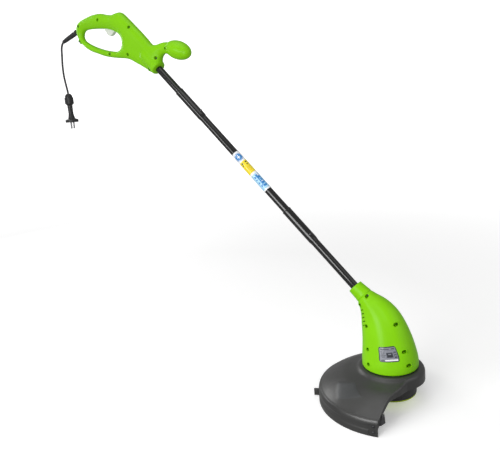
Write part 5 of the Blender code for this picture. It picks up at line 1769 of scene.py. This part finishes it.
class TRIMMER_OT_inside(bpy.types.Operator):
    """Give the pieces that stay as packed their finishes"""

    bl_idname = "trimmer.inside"
    bl_label = "Inside Pieces"

    def execute(self, context):
        finishes = {
            "motor_can": "motor steel", "motor_bracket": "black plastic", "motor_shaft": "bright steel",
            "cooling_fan": "black plastic", "inner_cable": "lead rubber", "line_spool": "black plastic",
            "wound_line": "line nylon"}
        for name, finish_name in finishes.items():
            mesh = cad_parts[name].data
            mesh.materials.clear()
            mesh.materials.append(finish(finish_name))
        return {"FINISHED"}


# -------------------- stage

class TRIMMER_OT_stage(bpy.types.Operator):
    """Set up the camera, the pale floor and the soft studio light"""

    bl_idname = "trimmer.stage"
    bl_label = "Studio"

    def execute(self, context):
        scene = context.scene
        c, s = math.cos(CAMERA_TURN), math.sin(CAMERA_TURN)
        back = Vector((s * math.cos(CAMERA_CLIMB), -c * math.cos(CAMERA_CLIMB), math.sin(CAMERA_CLIMB)))
        right = Vector((c, s, 0))
        self.build_camera(scene, right, back)
        self.build_floor()
        self.build_lights(scene, right, back)
        world = bpy.data.worlds.new("studio_sky")
        world.use_nodes = True
        sky = world.node_tree.nodes["Background"]
        sky.inputs["Color"].default_value = (1.0, 1.0, 1.0, 1)
        sky.inputs["Strength"].default_value = studio().sky
        scene.world = world
        scene.view_settings.view_transform = "Standard"
        return {"FINISHED"}

    def build_camera(self, scene, right, back):
        """Set the camera down, rolled a little about its own line of sight."""
        up = back.cross(right)
        c, s = math.cos(CAMERA_ROLL), math.sin(CAMERA_ROLL)
        axes = Matrix((c * right + s * up, c * up - s * right, back)).transposed()
        data = bpy.data.cameras.new("camera")
        data.lens = studio().focal_length
        data.sensor_width = 36
        camera = bpy.data.objects.new("camera", data)
        camera.matrix_world = Matrix.Translation(CAMERA_PLACE) @ axes.to_4x4()
        scene.collection.objects.link(camera)
        scene.camera = camera

    def build_floor(self):
        """Make the pale paper floor, which bends up into a wall all round."""
        height = CAD_BOX[0][2] - 0.0004
        bm = bmesh.new()
        bowl = [(0.0, 0.0), (FLOOR_RADIUS, 0.0)]
        for degrees in range(6, 91, 6):
            bend = math.radians(degrees)
            bowl.append((FLOOR_RADIUS + FLOOR_BEND * math.sin(bend), FLOOR_BEND * (1 - math.cos(bend))))
        bowl.append((FLOOR_RADIUS + FLOOR_BEND, FLOOR_TOP))
        sides = 96
        columns = []
        middle = bm.verts.new((FLOOR_CENTRE, 0, height))
        for i in range(sides):
            c, s = math.cos(2 * math.pi * i / sides), math.sin(2 * math.pi * i / sides)
            columns.append([middle if r == 0 else bm.verts.new((FLOOR_CENTRE + r * c, r * s, height + z))
                            for r, z in bowl])
        for i in range(sides):
            here, there = columns[i], columns[(i + 1) % sides]
            bm.faces.new((here[0], here[1], there[1]))
            for j in range(1, len(bowl) - 1):
                bm.faces.new((here[j], here[j + 1], there[j + 1], there[j]))
        floor = add_object("floor", mesh_from("floor", bm))
        white = tuple(studio().floor)
        material, tree, shader, spot = shader_parts("floor paper", white, 0.9)
        paper = noise_field(tree, spot, 120)
        mixed = two_tone(tree, remap(tree, paper, 0, 1), tuple(c * 0.985 for c in white), white)
        wire(tree, mixed, shader.inputs["Base Color"])
        reach = tree.nodes.new("ShaderNodeVectorMath")
        reach.operation = "LENGTH"
        wire(tree, spot, reach.inputs[0])
        glow = remap(tree, reach.outputs["Value"], 0.30, 1.0, 1.4, 4.2)
        shader.inputs["Emission Color"].default_value = (1, 1, 1, 1)
        wire(tree, glow, shader.inputs["Emission Strength"])
        floor.data.materials.append(material)
        # The bright paper shows only itself, so that gloss comes from the lights
        floor.visible_glossy = False
        floor.visible_diffuse = False
        floor.visible_shadow = False

    def build_lights(self, scene, right, back):
        """Hang the soft lights, each a rectangle turned to the trimmer."""
        settings = studio()
        # The key is a long strip along the tube, so that the tube carries one thin line of light
        lights = (
            ("key", Vector((-0.37, -2.40, -0.10)), (1.6, 0.6), settings.key_power, STUDIO_AIM),
            ("head_light", Vector((0.75, -1.30, -0.35)), (0.6, 0.6), settings.head_power, HEAD),
            ("top", STUDIO_AIM - right * 0.5 + back * 0.5 + Vector((0, 0, 2.5)), (2.2, 2.2),
             settings.top_power, STUDIO_AIM),
            ("rim", STUDIO_AIM - right * 1.5 - back * 1.6 + Vector((0, 0, 1.1)), (1.2, 1.2),
             settings.rim_power, STUDIO_AIM),
            ("fill", STUDIO_AIM + right * 2.2 + back * 1.6 + Vector((0, 0, 0.6)), (2.4, 2.4),
             settings.fill_power, STUDIO_AIM))
        down_tube = Vector((math.cos(SHAFT_TILT), -0.2, -math.sin(SHAFT_TILT)))
        for name, place, (long, wide), power, aim in lights:
            data = bpy.data.lights.new(name, "AREA")
            data.shape = "RECTANGLE"
            data.size = long
            data.size_y = wide
            data.energy = power
            away = (place - aim).normalized()
            across = away.cross(down_tube).normalized()
            lamp = bpy.data.objects.new(name, data)
            turn = Matrix((across.cross(away), across, away)).transposed()
            lamp.matrix_world = Matrix.Translation(place) @ turn.to_4x4()
            lamp.visible_camera = False
            scene.collection.objects.link(lamp)


# -------------------- panel and run

OPERATORS = (TRIMMER_OT_stage, TRIMMER_OT_lead, TRIMMER_OT_handle, TRIMMER_OT_trigger, TRIMMER_OT_tube,
             TRIMMER_OT_housing, TRIMMER_OT_guard, TRIMMER_OT_head, TRIMMER_OT_inside)


class TRIMMER_PT_panel(bpy.types.Panel):
    """List the trimmer's build steps and settings"""

    bl_idname = "TRIMMER_PT_panel"
    bl_label = "String Trimmer"
    bl_space_type = "VIEW_3D"
    bl_region_type = "UI"
    bl_category = "Trimmer"

    def draw(self, context):
        layout = self.layout
        for operator in OPERATORS:
            layout.operator(operator.bl_idname)
        for group, title in ((sizes(), "Sizes"), (colours(), "Colours"), (studio(), "Studio")):
            box = layout.box()
            box.label(text=title)
            for name in group.__annotations__:
                box.prop(group, name)


CLASSES = (TrimmerSizes, TrimmerColours, TrimmerStudio, *OPERATORS, TRIMMER_PT_panel)


def register():
    """Register the classes and the scene's settings."""
    for item in CLASSES:
        bpy.utils.register_class(item)
    bpy.types.Scene.trimmer_sizes = PointerProperty(type=TrimmerSizes)
    bpy.types.Scene.trimmer_colours = PointerProperty(type=TrimmerColours)
    bpy.types.Scene.trimmer_studio = PointerProperty(type=TrimmerStudio)


def unregister():
    """Take the classes and the settings away."""
    del bpy.types.Scene.trimmer_studio
    del bpy.types.Scene.trimmer_colours
    del bpy.types.Scene.trimmer_sizes
    for item in reversed(CLASSES):
        bpy.utils.unregister_class(item)


def main():
    """Build everything in order."""
    register()
    bpy.ops.trimmer.stage()
    bpy.ops.trimmer.lead()
    bpy.ops.trimmer.handle()
    bpy.ops.trimmer.trigger()
    bpy.ops.trimmer.tube()
    bpy.ops.trimmer.housing()
    bpy.ops.trimmer.guard()
    bpy.ops.trimmer.head()
    bpy.ops.trimmer.inside()


if __name__ == "__main__":
    main()
